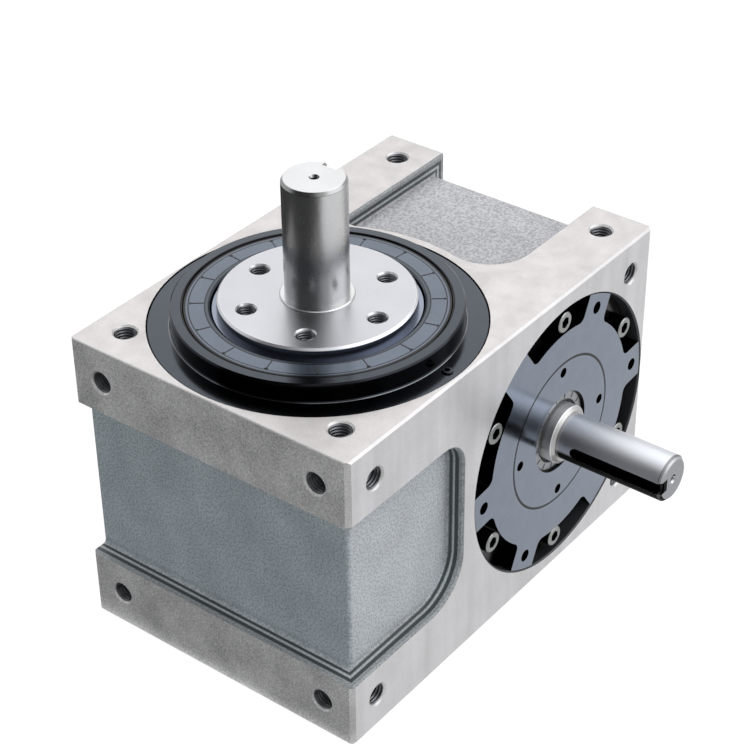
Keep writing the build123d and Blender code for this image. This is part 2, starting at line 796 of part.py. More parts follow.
# Output shaft: pressed into the flange's socket, with a low collar at its foot and a keyway.
with BuildPart() as output_shaft:
    turned(
        [
            (0, socket_floor_z),
            (output_collar_radius, socket_floor_z),
            (output_collar_radius, flange_top_z + output_collar_height / 2),
            (output_collar_radius - output_collar_height / 2, flange_top_z + output_collar_height),
            (output_shaft_radius, flange_top_z + output_collar_height),
            (output_shaft_radius, shaft_top_z - shaft_end_chamfer),
            (output_shaft_radius - output_end_inset, shaft_top_z),
            (0, shaft_top_z),
        ],
        Plane.XY,
    )
    with BuildSketch(Plane.YZ.offset(output_shaft_radius)):
        with Locations((0, shaft_top_z)):
            SlotOverall(2 * output_key_length, output_key_width, rotation=90)
    extrude(amount=-output_key_depth, mode=Mode.SUBTRACT)
    with Locations((0, 0, shaft_top_z)):
        CounterSinkHole(center_hole_radius, center_hole_mouth, center_hole_depth, 60)
save(output_shaft, "output_shaft")

# Follower studs: eight hardened pins pressed radially into the hub, each with a collar
# below its roller and a head that keeps the roller on.
with BuildPart() as one_stud:
    turned(
        [
            (0, stud_face - stud_shank_length),
            (stud_shank_radius, stud_face - stud_shank_length),
            (stud_shank_radius, stud_face),
            (stud_collar_radius, stud_face),
            (stud_collar_radius, stud_face + stud_collar_thickness),
            (stud_axle_radius, stud_face + stud_collar_thickness),
            (stud_axle_radius, roller_outer_reach + roller_end_play),
            (stud_head_radius, roller_outer_reach + roller_end_play),
            (stud_head_radius, roller_outer_reach + roller_end_play + stud_head_thickness),
            (0, roller_outer_reach + roller_end_play + stud_head_thickness),
        ],
        Plane.XY,
    )
stud_places = []
for station in range(follower_count):
    stud_angle = (station + 0.5) * station_angle
    stud_dir = Vector(cos(radians(stud_angle)), sin(radians(stud_angle)), 0)
    stud_places.append(Plane(origin=(0, 0, input_height), z_dir=stud_dir))
with BuildPart() as follower_studs:
    with Locations(*stud_places):
        add(one_stud.part)
save(follower_studs, "follower_studs")

# Cam rollers: hardened steel rollers that turn on the studs and run in the cam's grooves.
for station, stud_place in enumerate(stud_places):
    with BuildPart() as cam_roller:
        turned(
            [
                (stud_axle_radius + running_clearance, roller_inner_reach),
                (roller_radius - roller_chamfer, roller_inner_reach),
                (roller_radius, roller_inner_reach + roller_chamfer),
                (roller_radius, roller_outer_reach - roller_chamfer),
                (roller_radius - roller_chamfer, roller_outer_reach),
                (stud_axle_radius + running_clearance, roller_outer_reach),
            ],
            stud_place,
        )
    save(cam_roller, f"cam_roller_{station + 1}")


# Globoidal cam. Its rib always lies between two neighbouring rollers. A roller's axis points
# at the output axis, so the rib's flank touches it where the roller's surface normal is
# square to the sliding speed: at reach R and turret angle phi, the lead angle beta has
# tan(beta) = R * ratio / (distance of that point from the cam's axis).
def flank_point(side, section_angle, reach):
    """Distance from the cam's axis, and place along it, of a flank in one axial section."""
    index_ratio = 1 / follower_count
    start = -side * radians(station_angle) / 2
    gap_radius = roller_radius + rib_flank_clearance
    cam_turn = -section_angle
    for _ in range(contact_passes):
        phi = start + index_ratio * cam_turn
        beta = atan2(index_ratio * reach, center_distance - reach * cos(phi))
        across = side * gap_radius * cos(beta)
        lift = side * gap_radius * sin(beta)
        x = reach * cos(phi) - across * sin(phi)
        y = reach * sin(phi) + across * cos(phi)
        cam_turn = atan2(lift, center_distance - x) - section_angle
    return hypot(center_distance - x, lift), y


def cam_section_plane(section_angle):
    """Half-plane through the cam's axis: sketch x is the radius, sketch y runs along +Y."""
    outward = Vector(-cos(section_angle), 0, sin(section_angle))
    along = Vector(0, 1, 0)
    origin = (center_distance, 0, input_height)
    return Plane(origin=origin, x_dir=outward, z_dir=outward.cross(along))


rib_turn = rib_reach_angle * follower_count
section_count = round(2 * rib_turn / rib_section_step)
rib_root_reach = cam_root_reach + rib_root_depth
with BuildPart() as globoidal_cam:
    for index in range(section_count + 1):
        rib_angle = radians(rib_turn * (1 - 2 * index / section_count))
        with BuildSketch(cam_section_plane(rib_angle)):
            with BuildLine():
                Polyline(
                    flank_point(1, rib_angle, rib_root_reach),
                    flank_point(1, rib_angle, rib_tip_reach),
                    flank_point(-1, rib_angle, rib_tip_reach),
                    flank_point(-1, rib_angle, rib_root_reach),
                    close=True,
                )
            make_face()
    loft(ruled=True)
    core_end_radius = center_distance - sqrt(cam_root_reach**2 - cam_half_length**2)
    with BuildSketch(cam_plane):
        with BuildLine():
            Polyline(
                (core_end_radius, cam_half_length),
                (cam_seat_radius, cam_half_length),
                (cam_seat_radius, -cam_half_length),
                (core_end_radius, -cam_half_length),
            )
            ThreePointArc(
                (core_end_radius, -cam_half_length),
                (center_distance - cam_root_reach, 0),
                (core_end_radius, cam_half_length),
            )
        make_face()
    revolve(axis=input_axis)
    with BuildSketch(cam_plane):
        with Locations(((cam_outer_radius + cam_seat_radius) / 2, 0)):
            Rectangle(cam_outer_radius - cam_seat_radius, 2 * cam_half_length)
    revolve(axis=input_axis, mode=Mode.INTERSECT)
    cam_key_top = cam_seat_radius - cam_key_shaft_depth + cam_key_height + cam_key_top_gap
    with BuildSketch(Plane.XY.offset(input_height - cam_key_width / 2)):
        with Locations((center_distance + cam_key_top / 2, 0)):
            Rectangle(cam_key_top, 2 * cam_half_length)
    extrude(amount=cam_key_width, mode=Mode.SUBTRACT)
save(globoidal_cam, "globoidal_cam")

# Cam key: a rectangular key between the shaft and the cam, on the side away from the turret.
key_floor_x = center_distance + cam_seat_radius - cam_key_shaft_depth
with BuildPart() as cam_key:
    with BuildSketch(Plane.XY.offset(input_height - cam_key_width / 2)):
        with Locations((key_floor_x + cam_key_height / 2, 0)):
            Rectangle(cam_key_height, cam_key_length)
    extrude(amount=cam_key_width)
save(cam_key, "cam_key")

# Input shaft: turned steel, with bearing seats, a shoulder for the cam, the bright seal
# journal that stands out of the cap, and the keyed drive end.
with BuildPart() as input_shaft:
    shaft_steps = [
        (0, -shaft_end_y),
        (input_shaft_radius - shaft_end_chamfer, -shaft_end_y),
        (input_shaft_radius, -shaft_end_y + shaft_end_chamfer),
        (input_shaft_radius, -half_width - journal_stand),
        (journal_radius - journal_chamfer, -half_width - journal_stand),
        (journal_radius, -half_width - journal_stand + journal_chamfer),
        (journal_radius, -bearing_face_y),
        (input_bearing_bore, -bearing_face_y),
        (input_bearing_bore, -bearing_spread),
        (cam_shoulder_radius, -bearing_spread),
        (cam_shoulder_radius, -cam_half_length),
        (cam_seat_radius, -cam_half_length),
        (cam_seat_radius, cam_half_length),
        (cam_seat_radius - retaining_groove_depth, cam_half_length),
        (cam_seat_radius - retaining_groove_depth, cam_half_length + retaining_ring_thickness),
        (cam_seat_radius, cam_half_length + retaining_ring_thickness),
        (cam_seat_radius, bearing_spread),
        (input_bearing_bore, bearing_spread),
        (input_bearing_bore, bearing_face_y + shaft_tail),
        (0, bearing_face_y + shaft_tail),
    ]
    with BuildSketch(input_plane):
        with BuildLine():
            Polyline(*shaft_steps, close=True)
        make_face()
    revolve(axis=input_axis)
    with BuildSketch(Plane.YZ.offset(center_distance - input_shaft_radius)):
        with Locations((-shaft_end_y, input_height)):
            SlotOverall(2 * input_key_length, input_key_width)
    extrude(amount=input_key_depth, mode=Mode.SUBTRACT)
    with BuildSketch(Plane.XY.offset(input_height - cam_key_width / 2)):
        with Locations((key_floor_x + cam_key_height / 2, 0)):
            Rectangle(cam_key_height, cam_key_length)
    extrude(amount=cam_key_width, mode=Mode.SUBTRACT)
    with Locations(
        Plane(origin=(center_distance, -shaft_end_y, input_height), x_dir=(1, 0, 0), z_dir=(0, -1, 0))
    ):
        CounterSinkHole(center_hole_radius, center_hole_mouth, center_hole_depth, 60)
save(input_shaft, "input_shaft")

# Cam retaining ring: a spring ring in the shaft's groove, behind the cam.
with BuildPart() as cam_retaining_ring:
    with BuildSketch(input_plane) as ring_section:
        with BuildLine():
            Polyline(
                (cam_seat_radius - retaining_groove_depth, cam_half_length),
                (cam_seat_radius + retaining_ring_height, cam_half_length),
                (cam_seat_radius + retaining_ring_height, cam_half_length + retaining_ring_thickness),
                (cam_seat_radius - retaining_groove_depth, cam_half_length + retaining_ring_thickness),
                close=True,
            )
        make_face()
    revolve(ring_section.sketch, axis=input_axis)
save(cam_retaining_ring, "cam_retaining_ring")

# Eccentric bearing flanges. The spigot and rim are round about the housing's cross bore and
# the bearing seat about the input axis, a little off it, so turning the pair of flanges sets
# the mesh of cam and rollers. Six open slots in the rim hold the screws, with ears between.
ring_seal_mid = bearing_flange_thickness + ring_seal_place
flange_screw = socket_screw(
    screw_radius - fit_clearance,
    screw_length,
    screw_head_radius,
    screw_head_height,
    screw_socket_flat,
    screw_socket_depth,
)


def flange_sketch_radius(vertex):
    return hypot(vertex.X, vertex.Y)


for side_name, rim_plane, seat_plane in (
    ("front", front_flange_plane, front_cap_plane),
    ("rear", rear_flange_plane, rear_cap_plane),
):
    spigot_outer = bearing_spigot_radius - spigot_gap
    rim_outer = bearing_flange_radius - bearing_flange_gap
    flange_depth = bearing_flange_thickness + bearing_spigot_length
    with BuildPart() as bearing_flange:
        turned(
            [
                (0, 0),
                (rim_outer, 0),
                (rim_outer, -bearing_flange_thickness),
                (spigot_outer, -bearing_flange_thickness),
                (spigot_outer, -ring_seal_mid + ring_seal_half),
                (spigot_outer - 2 * ring_seal_half, -ring_seal_mid + ring_seal_half),
                (spigot_outer - 2 * ring_seal_half, -ring_seal_mid - ring_seal_half),
                (spigot_outer, -ring_seal_mid - ring_seal_half),
                (spigot_outer, -flange_depth),
                (0, -flange_depth),
            ],
            rim_plane,
        )
        turned(
            [
                (0, 0),
                (cap_radius, 0),
                (cap_radius, -bearing_flange_thickness),
                (input_bearing_outer, -bearing_flange_thickness),
                (input_bearing_outer, -flange_depth),
                (0, -flange_depth),
            ],
            seat_plane,
            Mode.SUBTRACT,
        )
        with BuildSketch(rim_plane) as rim_slots:
            Circle(bearing_flange_radius + ear_width)
            Circle(slot_inner_radius, mode=Mode.SUBTRACT)
            with PolarLocations(bearing_flange_radius, ear_count, start_angle=flange_turn):
                Rectangle(2 * ear_width, ear_width, mode=Mode.SUBTRACT)
            fillet(
                rim_slots.vertices().filter_by(
                    lambda v: flange_sketch_radius(v) < bearing_flange_radius
                ),
                slot_corner_radius,
            )
        extrude(amount=-slot_depth, mode=Mode.SUBTRACT)
        with BuildSketch(rim_plane.offset(-slot_depth)):
            with PolarLocations(screw_circle, ear_count, start_angle=180 / ear_count):
                SlotCenterToCenter(screw_slot_travel, screw_slot_width, rotation=90)
        extrude(amount=slot_depth - bearing_flange_thickness, mode=Mode.SUBTRACT)
        with Locations(rim_plane):
            ear_angles = [flange_turn + turn for turn in ear_hole_turns]
            ear_places = [
                (ear_hole_place * cos(radians(a)), ear_hole_place * sin(radians(a))) for a in ear_angles
            ]
            with Locations(*ear_places):
                Hole(ear_hole_radius, bearing_flange_thickness)
    save(bearing_flange, f"{side_name}_bearing_flange")

    with BuildPart() as flange_screws:
        with Locations(rim_plane.offset(-slot_depth)):
            with PolarLocations(screw_circle, ear_count, start_angle=180 / ear_count):
                add(flange_screw)
    save(flange_screws, f"{side_name}_flange_screws")

    with BuildPart() as flange_seal:
        turned(
            [
                (spigot_outer, -ring_seal_mid + ring_seal_half),
                (spigot_outer - 2 * ring_seal_half, -ring_seal_mid + ring_seal_half),
                (spigot_outer - 2 * ring_seal_half, -ring_seal_mid - ring_seal_half),
                (spigot_outer, -ring_seal_mid - ring_seal_half),
            ],
            rim_plane,
        )
    save(flange_seal, f"{side_name}_flange_seal")

    # Bearing cap: screwed into the flange against the cup, with four spanner holes. The
    # front one carries the oil seal, the rear one is closed.
    with BuildPart() as bearing_cap:
        cap_outer = cap_radius - cap_gap
        cap_inside = -bearing_flange_thickness + cap_relief_depth
        if side_name == "front":
            cap_bore = [
                (cap_throat_radius, cap_inside),
                (cap_throat_radius, -input_seal_pocket),
                (input_seal_radius, -input_seal_pocket),
                (input_seal_radius, 0),
            ]
        else:
            cap_bore = [
                (cap_throat_radius, cap_inside),
                (cap_throat_radius, -rear_cap_floor),
                (0, -rear_cap_floor),
                (0, 0),
            ]
        turned(
            [
                *cap_bore,
                (cap_outer, 0),
                (cap_outer, -bearing_flange_thickness),
                (cap_relief_radius, -bearing_flange_thickness),
                (cap_relief_radius, cap_inside),
            ],
            seat_plane,
        )
        with Locations(seat_plane):
            with PolarLocations(cap_spanner_circle, 4):
                Hole(cap_spanner_radius, cap_spanner_depth)
    save(bearing_cap, f"{side_name}_bearing_cap")

# Input oil seal: a small lip seal in the front cap, running on the bright journal.
seal_bore = journal_radius + lip_clearance
with BuildPart() as input_oil_seal:
    turned(
        [
            (seal_bore, -input_seal_drop - input_seal_width / 2),
            (seal_bore + input_lip_back, -input_seal_drop - input_seal_width),
            (input_seal_radius, -input_seal_drop - input_seal_width),
            (input_seal_radius, -input_seal_drop),
            (seal_bore + input_lip_face, -input_seal_drop),
            (seal_bore + input_lip_edge, -input_seal_drop - input_lip_slope),
        ],
        front_cap_plane,
    )
save(input_oil_seal, "input_oil_seal")

# Oil plugs: hexagon plugs with a socket, screwed into the end panel.
for plug_name, plug_place in (("oil_fill_plug", fill_plug_place), ("oil_drain_plug", drain_plug_place)):
    with BuildPart() as oil_plug:
        with BuildSketch(fitting_plane):
            with Locations(plug_place):
                RegularPolygon(plug_head_flat / 2, 6, major_radius=False)
        extrude(amount=plug_head_height)
        with BuildSketch(fitting_plane.offset(plug_head_height)):
            with Locations(plug_place):
                RegularPolygon(plug_socket_flat / 2, 6, major_radius=False)
        extrude(amount=-plug_socket_depth, mode=Mode.SUBTRACT)
        with BuildSketch(fitting_plane):
            with Locations(plug_place):
                Circle(fitting_radius - fit_clearance)
        extrude(amount=-plug_length)
    save(oil_plug, plug_name)

# Oil sight glass: a bezel screwed into the end panel, with a round window in it.
glass_plane = fitting_plane.offset(0)
glass_plane.origin = fitting_plane.from_local_coords((*glass_place, 0))
window_top = glass_bezel_height - glass_window_drop
window_base = window_top - glass_window_thickness
with BuildPart() as sight_glass_bezel:
    turned(
        [
            (glass_window_radius, glass_bezel_height),
            (glass_bezel_radius, glass_bezel_height),
            (glass_bezel_radius, 0),
            (glass_hole_radius - fit_clearance, 0),
            (glass_hole_radius - fit_clearance, -glass_shank_length),
            (glass_window_radius - glass_ledge, -glass_shank_length),
            (glass_window_radius - glass_ledge, window_base),
            (glass_window_radius, window_base),
        ],
        glass_plane,
    )
save(sight_glass_bezel, "sight_glass_bezel")

with BuildPart() as sight_glass_window:
    turned(
        [
            (0, window_base),
            (glass_window_radius, window_base),
            (glass_window_radius, window_top),
            (0, window_top),
        ],
        glass_plane,
    )
save(sight_glass_window, "sight_glass_window")
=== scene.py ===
import math
import bpy
from mathutils import Matrix, Vector


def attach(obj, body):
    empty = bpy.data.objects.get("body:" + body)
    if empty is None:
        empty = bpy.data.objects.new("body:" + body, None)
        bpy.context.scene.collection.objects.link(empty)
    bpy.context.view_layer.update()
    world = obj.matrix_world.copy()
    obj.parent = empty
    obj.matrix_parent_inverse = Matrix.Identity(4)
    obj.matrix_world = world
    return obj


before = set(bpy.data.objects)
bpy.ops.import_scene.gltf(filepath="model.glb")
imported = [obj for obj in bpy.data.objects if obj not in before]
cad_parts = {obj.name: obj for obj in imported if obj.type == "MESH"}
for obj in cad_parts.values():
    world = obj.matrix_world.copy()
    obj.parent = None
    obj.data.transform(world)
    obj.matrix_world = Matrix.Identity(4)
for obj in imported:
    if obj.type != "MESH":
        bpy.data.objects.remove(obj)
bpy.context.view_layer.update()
MM = 0.001


# Housing. One grey iron casting, milled flat on all six faces. The recesses between the
# milled bands keep their cast skin under a sprayed hammer-finish paint. Tapped holes near
# the corners of every face bolt the drive to a machine.
def shade(tree, kind, inputs=None, **settings):
    """Add one shader node, set its properties, and set or link its inputs."""
    node = tree.nodes.new("ShaderNode" + kind)
    for name, value in settings.items():
        setattr(node, name, value)
    for name, value in (inputs or {}).items():
        feed(tree, node.inputs[name], value)
    return node


def feed(tree, socket, value):
    if isinstance(value, bpy.types.NodeSocket):
        tree.links.new(value, socket)
    else:
        socket.default_value = value


def calc(tree, operation, *values):
    """The output of one maths node."""
    node = shade(tree, "Math", operation=operation)
    for socket, value in zip(node.inputs, values):
        feed(tree, socket, value)
    return node.outputs[0]


def along(tree, operation, *values):
    """The output of one vector maths node."""
    node = shade(tree, "VectorMath", operation=operation)
    for socket, value in zip(node.inputs, values):
        feed(tree, socket, value)
    return node.outputs["Value" if operation in ("DOT_PRODUCT", "LENGTH") else "Vector"]


def fade(tree, value, low, high):
    """0 below low, 1 above high, and smooth between them."""
    inputs = {"Value": value, "From Min": low, "From Max": high}
    return shade(tree, "MapRange", inputs, interpolation_type="SMOOTHSTEP").outputs["Result"]


def within(tree, value, low, high, soft):
    """1 where the value lies between low and high, with soft edges."""
    above = fade(tree, value, low - soft, low)
    below = calc(tree, "SUBTRACT", 1.0, fade(tree, value, high, high + soft))
    return calc(tree, "MULTIPLY", above, below)


def tint(tree, mask, first, second):
    """The first colour where the mask is 0, the second where it is 1."""
    node = shade(tree, "Mix", data_type="RGBA")
    feed(tree, node.inputs[0], mask)
    feed(tree, node.inputs[6], first)
    feed(tree, node.inputs[7], second)
    return node.outputs[2]


def toned(tree, color, tone):
    """A colour made lighter or darker by a number."""
    return along(tree, "MULTIPLY", color, tone)


def noise(tree, position, grain, detail=2.0, rough=0.5):
    """Soft grain about so many millimetres across."""
    scale = calc(tree, "DIVIDE", 1.0, calc(tree, "MULTIPLY", grain, MM))
    inputs = {"Vector": position, "Scale": scale, "Detail": detail, "Roughness": rough}
    return shade(tree, "TexNoise", inputs).outputs["Fac"]


def start_group(name, inputs, outputs):
    """An empty node group with its named sockets."""
    group = bpy.data.node_groups.new(name, "ShaderNodeTree")
    for label, kind in inputs:
        group.interface.new_socket(name=label, in_out="INPUT", socket_type="NodeSocket" + kind)
    for label, kind in outputs:
        group.interface.new_socket(name=label, in_out="OUTPUT", socket_type="NodeSocket" + kind)
    return group, group.nodes.new("NodeGroupInput").outputs, group.nodes.new("NodeGroupOutput").inputs


def use(tree, group, **inputs):
    """Place a group in a material. Spaces in its socket names are written as _."""
    node = shade(tree, "Group", node_tree=group)
    for name, value in inputs.items():
        feed(tree, node.inputs[name.replace("_", " ")], value)
    return node.outputs


def new_material(name, **values):
    """A material with its Principled shader's plain values set, and the place on the part."""
    material = bpy.data.materials.new(name)
    material.use_nodes = True
    tree = material.node_tree
    skin = tree.nodes["Principled BSDF"]
    for label, value in values.items():
        skin.inputs[label.replace("_", " ")].default_value = value
    return material, tree, skin.inputs, shade(tree, "TexCoord").outputs["Object"]


def bump(tree, height, strength, depth):
    """The normal of a surface raised by height times depth, in millimetres."""
    return shade(tree, "Bump", {"Height": height, "Strength": strength, "Distance": depth * MM}).outputs["Normal"]


def finish(material, *names):
    """Give CAD parts their real finish."""
    for name in names:
        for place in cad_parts[name].material_slots:
            place.material = material


# the mottled look of milled iron: fine grain, with faint clouds over it
milled, given, made = start_group(
    "Milled grain",
    [("Position", "Vector"), ("Grain", "Float"), ("Mottle", "Float"), ("Cloud", "Float")],
    [("Tone", "Float"), ("Height", "Float")],
)
grain = noise(milled, given["Position"], given["Grain"], 3.0, 0.6)
clouds = noise(milled, given["Position"], 16.0, 2.0)
mottle = calc(milled, "MULTIPLY", calc(milled, "SUBTRACT", grain, 0.5), given["Mottle"])
cloudy = calc(milled, "MULTIPLY", calc(milled, "SUBTRACT", clouds, 0.5), given["Cloud"])
feed(milled, made["Tone"], calc(milled, "ADD", 1.0, calc(milled, "ADD", mottle, cloudy)))
feed(milled, made["Height"], grain)

# hammer-finish paint: round flecks a little over a millimetre across, dark between them
hammered, given, made = start_group(
    "Hammer paint",
    [("Position", "Vector"), ("Fleck", "Float"), ("Contrast", "Float")],
    [("Tone", "Float"), ("Height", "Float")],
)
flecks = noise(hammered, given["Position"], given["Fleck"], 2.0, 0.55)
fine = noise(hammered, given["Position"], calc(hammered, "MULTIPLY", given["Fleck"], 0.35), 1.0)
crust = calc(hammered, "ADD", calc(hammered, "MULTIPLY", fade(hammered, flecks, 0.36, 0.6), 0.7),
             calc(hammered, "MULTIPLY", fine, 0.3))
shift = calc(hammered, "MULTIPLY", calc(hammered, "SUBTRACT", crust, 0.55), given["Contrast"])
feed(hammered, made["Tone"], calc(hammered, "ADD", 1.0, shift))
feed(hammered, made["Height"], crust)

box_low = (-75.0, -75.0, 0.0)
box_high = (150.0, 75.0, 150.0)
left_floor_x = -66.0
front_floor_y = -67.0
pocket_floor_z = 142.0
panel_floor_x = 142.0
recess_low_z = 33.0
recess_high_z = 117.0
pocket_end_x = 3.3
pocket_side_y = 42.3
mouth = 0.9

iron, tree, skin, position = new_material("milled_and_painted_iron", Metallic=0.0)
place = along(tree, "MULTIPLY", position, (1 / MM,) * 3)
x, y, z = shade(tree, "SeparateXYZ", {"Vector": place}).outputs
facing = shade(tree, "NewGeometry").outputs["True Normal"]
face_x, face_y, face_z = [calc(tree, "ABSOLUTE", side) for side in
                          shade(tree, "SeparateXYZ", {"Vector": facing}).outputs]

# where the cast skin is: the left recess and front pocket, the top pocket and its end panel
recess_rows = within(tree, z, recess_low_z - mouth, recess_high_z + mouth, 0.15)
on_post = calc(tree, "MULTIPLY", within(tree, x, -100.0, left_floor_x + 2.2, 0.1),
               within(tree, y, -100.0, front_floor_y + 2.2, 0.1))
in_left = calc(tree, "MAXIMUM", on_post, within(tree, x, -100.0, left_floor_x + 0.4, 0.1))
in_left = calc(tree, "MULTIPLY", recess_rows, in_left)
in_left = calc(tree, "MULTIPLY", in_left, within(tree, y, box_low[1] + 0.1, box_high[1] - 0.1, 0.05))
in_left = calc(tree, "MULTIPLY", in_left, within(tree, x, box_low[0] + 0.1, 0.0, 0.05))
in_front = calc(tree, "MULTIPLY", recess_rows, within(tree, x, box_low[0] + 0.1, pocket_end_x + mouth, 0.15))
in_front = calc(tree, "MULTIPLY", in_front, within(tree, y, box_low[1] + 0.1, front_floor_y + 0.4, 0.05))
across = within(tree, y, -pocket_side_y - mouth, pocket_side_y + mouth, 0.15)
from_axis = along(tree, "LENGTH", along(tree, "MULTIPLY", place, (1.0, 1.0, 0.0)))
in_top = calc(tree, "MULTIPLY", across, within(tree, z, pocket_floor_z - 0.4, box_high[2] - 0.1, 0.05))
in_top = calc(tree, "MULTIPLY", in_top, fade(tree, from_axis, 76.5, 77.0))
in_top = calc(tree, "MULTIPLY", in_top, fade(tree, x, 40.0, 41.0))
in_end = calc(tree, "MULTIPLY", across, within(tree, x, panel_floor_x - 0.4, box_high[0] - 0.1, 0.05))
in_end = calc(tree, "MULTIPLY", in_end, fade(tree, z, recess_low_z - mouth - 0.15, recess_low_z - mouth))
painted = calc(tree, "MAXIMUM", calc(tree, "MAXIMUM", in_left, in_front), calc(tree, "MAXIMUM", in_top, in_end))

# painted shade in two dark rolls along each recess wall, with a painted highlight line between, told by the depth
# below the nearer milled face; the floors lie deeper than the rolls
near_depth = calc(tree, "MINIMUM", calc(tree, "SUBTRACT", x, box_low[0]), calc(tree, "SUBTRACT", y, box_low[1]))
near_depth = calc(tree, "MULTIPLY", near_depth, calc(tree, "MAXIMUM", in_left, in_front))
far_depth = calc(tree, "MINIMUM", calc(tree, "SUBTRACT", box_high[2], z), calc(tree, "SUBTRACT", box_high[0], x))
far_depth = calc(tree, "MULTIPLY", far_depth, calc(tree, "MAXIMUM", in_top, in_end))
wall_depth = calc(tree, "MAXIMUM", near_depth, far_depth)
painted_wall_shade = calc(tree, "MAXIMUM", within(tree, wall_depth, 2.9, 4.3, 0.5), within(tree, wall_depth, 6.2, 7.1, 0.5))
painted_wall_highlight = within(tree, wall_depth, 5.0, 5.3, 0.35)
lip = within(tree, wall_depth, 0.2, 2.2, 0.5)

# painted shade darkens the floors next to the recess walls
low_corner = calc(tree, "SUBTRACT", 1.0, fade(tree, z, recess_low_z, recess_low_z + 5.0))
end_corner = calc(tree, "MULTIPLY", fade(tree, x, pocket_end_x - 5.0, pocket_end_x), in_front)
side_corner = fade(tree, calc(tree, "ABSOLUTE", y), pocket_side_y - 4.0, pocket_side_y)
side_corner = calc(tree, "MULTIPLY", side_corner, in_top)
floor_shade = calc(tree, "MAXIMUM", calc(tree, "MAXIMUM", low_corner, end_corner), side_corner)

# the same paint in two thicknesses: the sides took less of it than the top
skin_top = use(tree, hammered, Position=position, Fleck=1.2, Contrast=0.65)
skin_side = use(tree, hammered, Position=position, Fleck=1.0, Contrast=0.62)
skin_cloud = noise(tree, position, 22.0, 2.0)
paint_tone = calc(tree, "ADD", calc(tree, "MULTIPLY", skin_top["Tone"], in_top),
                  calc(tree, "MULTIPLY", skin_side["Tone"], calc(tree, "SUBTRACT", 1.0, in_top)))
# painted shade: the paint on faces that look along x, in the left recess and on the end panel, is darker than on
# the front and top
paint_color = tint(tree, face_x, (0.46, 0.49, 0.52, 1), (0.237, 0.27, 0.29, 1))
paint_color = tint(tree, calc(tree, "MULTIPLY", face_z, in_top), paint_color, (0.46, 0.46, 0.485, 1))
paint_color = toned(tree, paint_color, paint_tone)
paint_color = toned(tree, paint_color, calc(tree, "ADD", 0.76, calc(tree, "MULTIPLY", skin_cloud, 0.48)))
# painted shade on the floors beside the walls
paint_color = toned(tree, paint_color, calc(tree, "SUBTRACT", 1.0, calc(tree, "MULTIPLY", floor_shade, 0.3)))
lip_color = toned(tree, (0.22, 0.235, 0.24), skin_side["Tone"])
paint_color = tint(tree, calc(tree, "MULTIPLY", lip, 0.6), paint_color, lip_color)
# painted shade on the recess walls, then a painted highlight line
paint_color = tint(tree, calc(tree, "MULTIPLY", painted_wall_shade, 0.93), paint_color, (0.02, 0.027, 0.027, 1))
paint_color = tint(tree, calc(tree, "MULTIPLY", painted_wall_highlight, 0.5), paint_color, (0.5, 0.54, 0.54, 1))

# milled faces: fine on the top and front, coarser and duller on the ends
fine_mill = use(tree, milled, Position=position, Grain=0.9, Mottle=0.22, Cloud=0.22)
rough_mill = use(tree, milled, Position=position, Grain=0.85, Mottle=1.8, Cloud=0.75)
bands = noise(tree, along(tree, "MULTIPLY", position, (1.0, 1.0, 0.06)), 9.0, 2.0)
iron_color = tint(tree, face_y, (0.52, 0.50, 0.495, 1), (0.545, 0.54, 0.55, 1))
iron_color = toned(tree, iron_color, calc(tree, "ADD", 0.81, calc(tree, "MULTIPLY", bands, 0.4)))
iron_color = toned(tree, iron_color, fine_mill["Tone"])
end_color = toned(tree, (0.50, 0.50, 0.50), rough_mill["Tone"])
iron_color = tint(tree, face_x, iron_color, end_color)

# outer edges toned towards a plain light grey, and painted shade on the bore walls round the flange and cover
rim_x = calc(tree, "SUBTRACT", 1.0, within(tree, x, box_low[0] + 1.9, box_high[0] - 1.9, 0.05))
rim_y = calc(tree, "SUBTRACT", 1.0, within(tree, y, box_low[1] + 1.9, box_high[1] - 1.9, 0.05))
rim_z = calc(tree, "SUBTRACT", 1.0, within(tree, z, box_low[2] + 0.9, box_high[2] - 0.9, 0.05))
edges = fade(tree, calc(tree, "ADD", rim_x, calc(tree, "ADD", rim_y, rim_z)), 1.4, 1.9)
edges = calc(tree, "MULTIPLY", edges, calc(tree, "SUBTRACT", 1.0, painted))
iron_color = tint(tree, calc(tree, "MULTIPLY", edges, 0.3), iron_color, (0.5, 0.495, 0.5, 1))
from_bore = along(tree, "SUBTRACT", place, (80.0, 0.0, 74.0))
across_bore = along(tree, "LENGTH", along(tree, "MULTIPLY", from_bore, (1.0, 0.0, 1.0)))
in_bore = calc(tree, "MULTIPLY", within(tree, across_bore, 0.0, 68.6, 0.1), within(tree, y, -74.9, 74.9, 0.05))
in_seat = calc(tree, "MULTIPLY", within(tree, from_axis, 0.0, 73.7, 0.1), within(tree, z, 0.1, 149.9, 0.05))
bore_shade = calc(tree, "MAXIMUM", in_bore, in_seat)
# painted shade: the bore walls are near black
iron_color = tint(tree, bore_shade, iron_color, (0.035, 0.037, 0.04, 1))

feed(tree, skin["Base Color"], tint(tree, painted, iron_color, paint_color))
feed(tree, skin["Metallic"], calc(tree, "MULTIPLY", calc(tree, "SUBTRACT", 1.0, painted), 0.45))
iron_rough = calc(tree, "ADD", 0.36, calc(tree, "MULTIPLY", face_x, 0.16))
feed(tree, skin["Roughness"], calc(tree, "ADD", iron_rough, calc(tree, "MULTIPLY", painted, 0.1)))
bare = calc(tree, "SUBTRACT", 0.12, calc(tree, "MULTIPLY", painted, 0.12))
height = calc(tree, "ADD", calc(tree, "MULTIPLY", skin_side["Height"], painted),
              calc(tree, "MULTIPLY", fine_mill["Height"], bare))
feed(tree, skin["Normal"], bump(tree, height, 0.8, 0.18))
finish(iron, "housing")


def add_mesh(name, points, faces, material, body):
    """A new piece in the part's own frame, in metres, riding on one body."""
    mesh = bpy.data.meshes.new(name)
    mesh.from_pydata([Vector(point) * MM for point in points], [], faces)
    mesh.update()
    piece = bpy.data.objects.new(name, mesh)
    bpy.context.scene.collection.objects.link(piece)
    mesh.materials.append(material)
    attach(piece, body)
    return piece
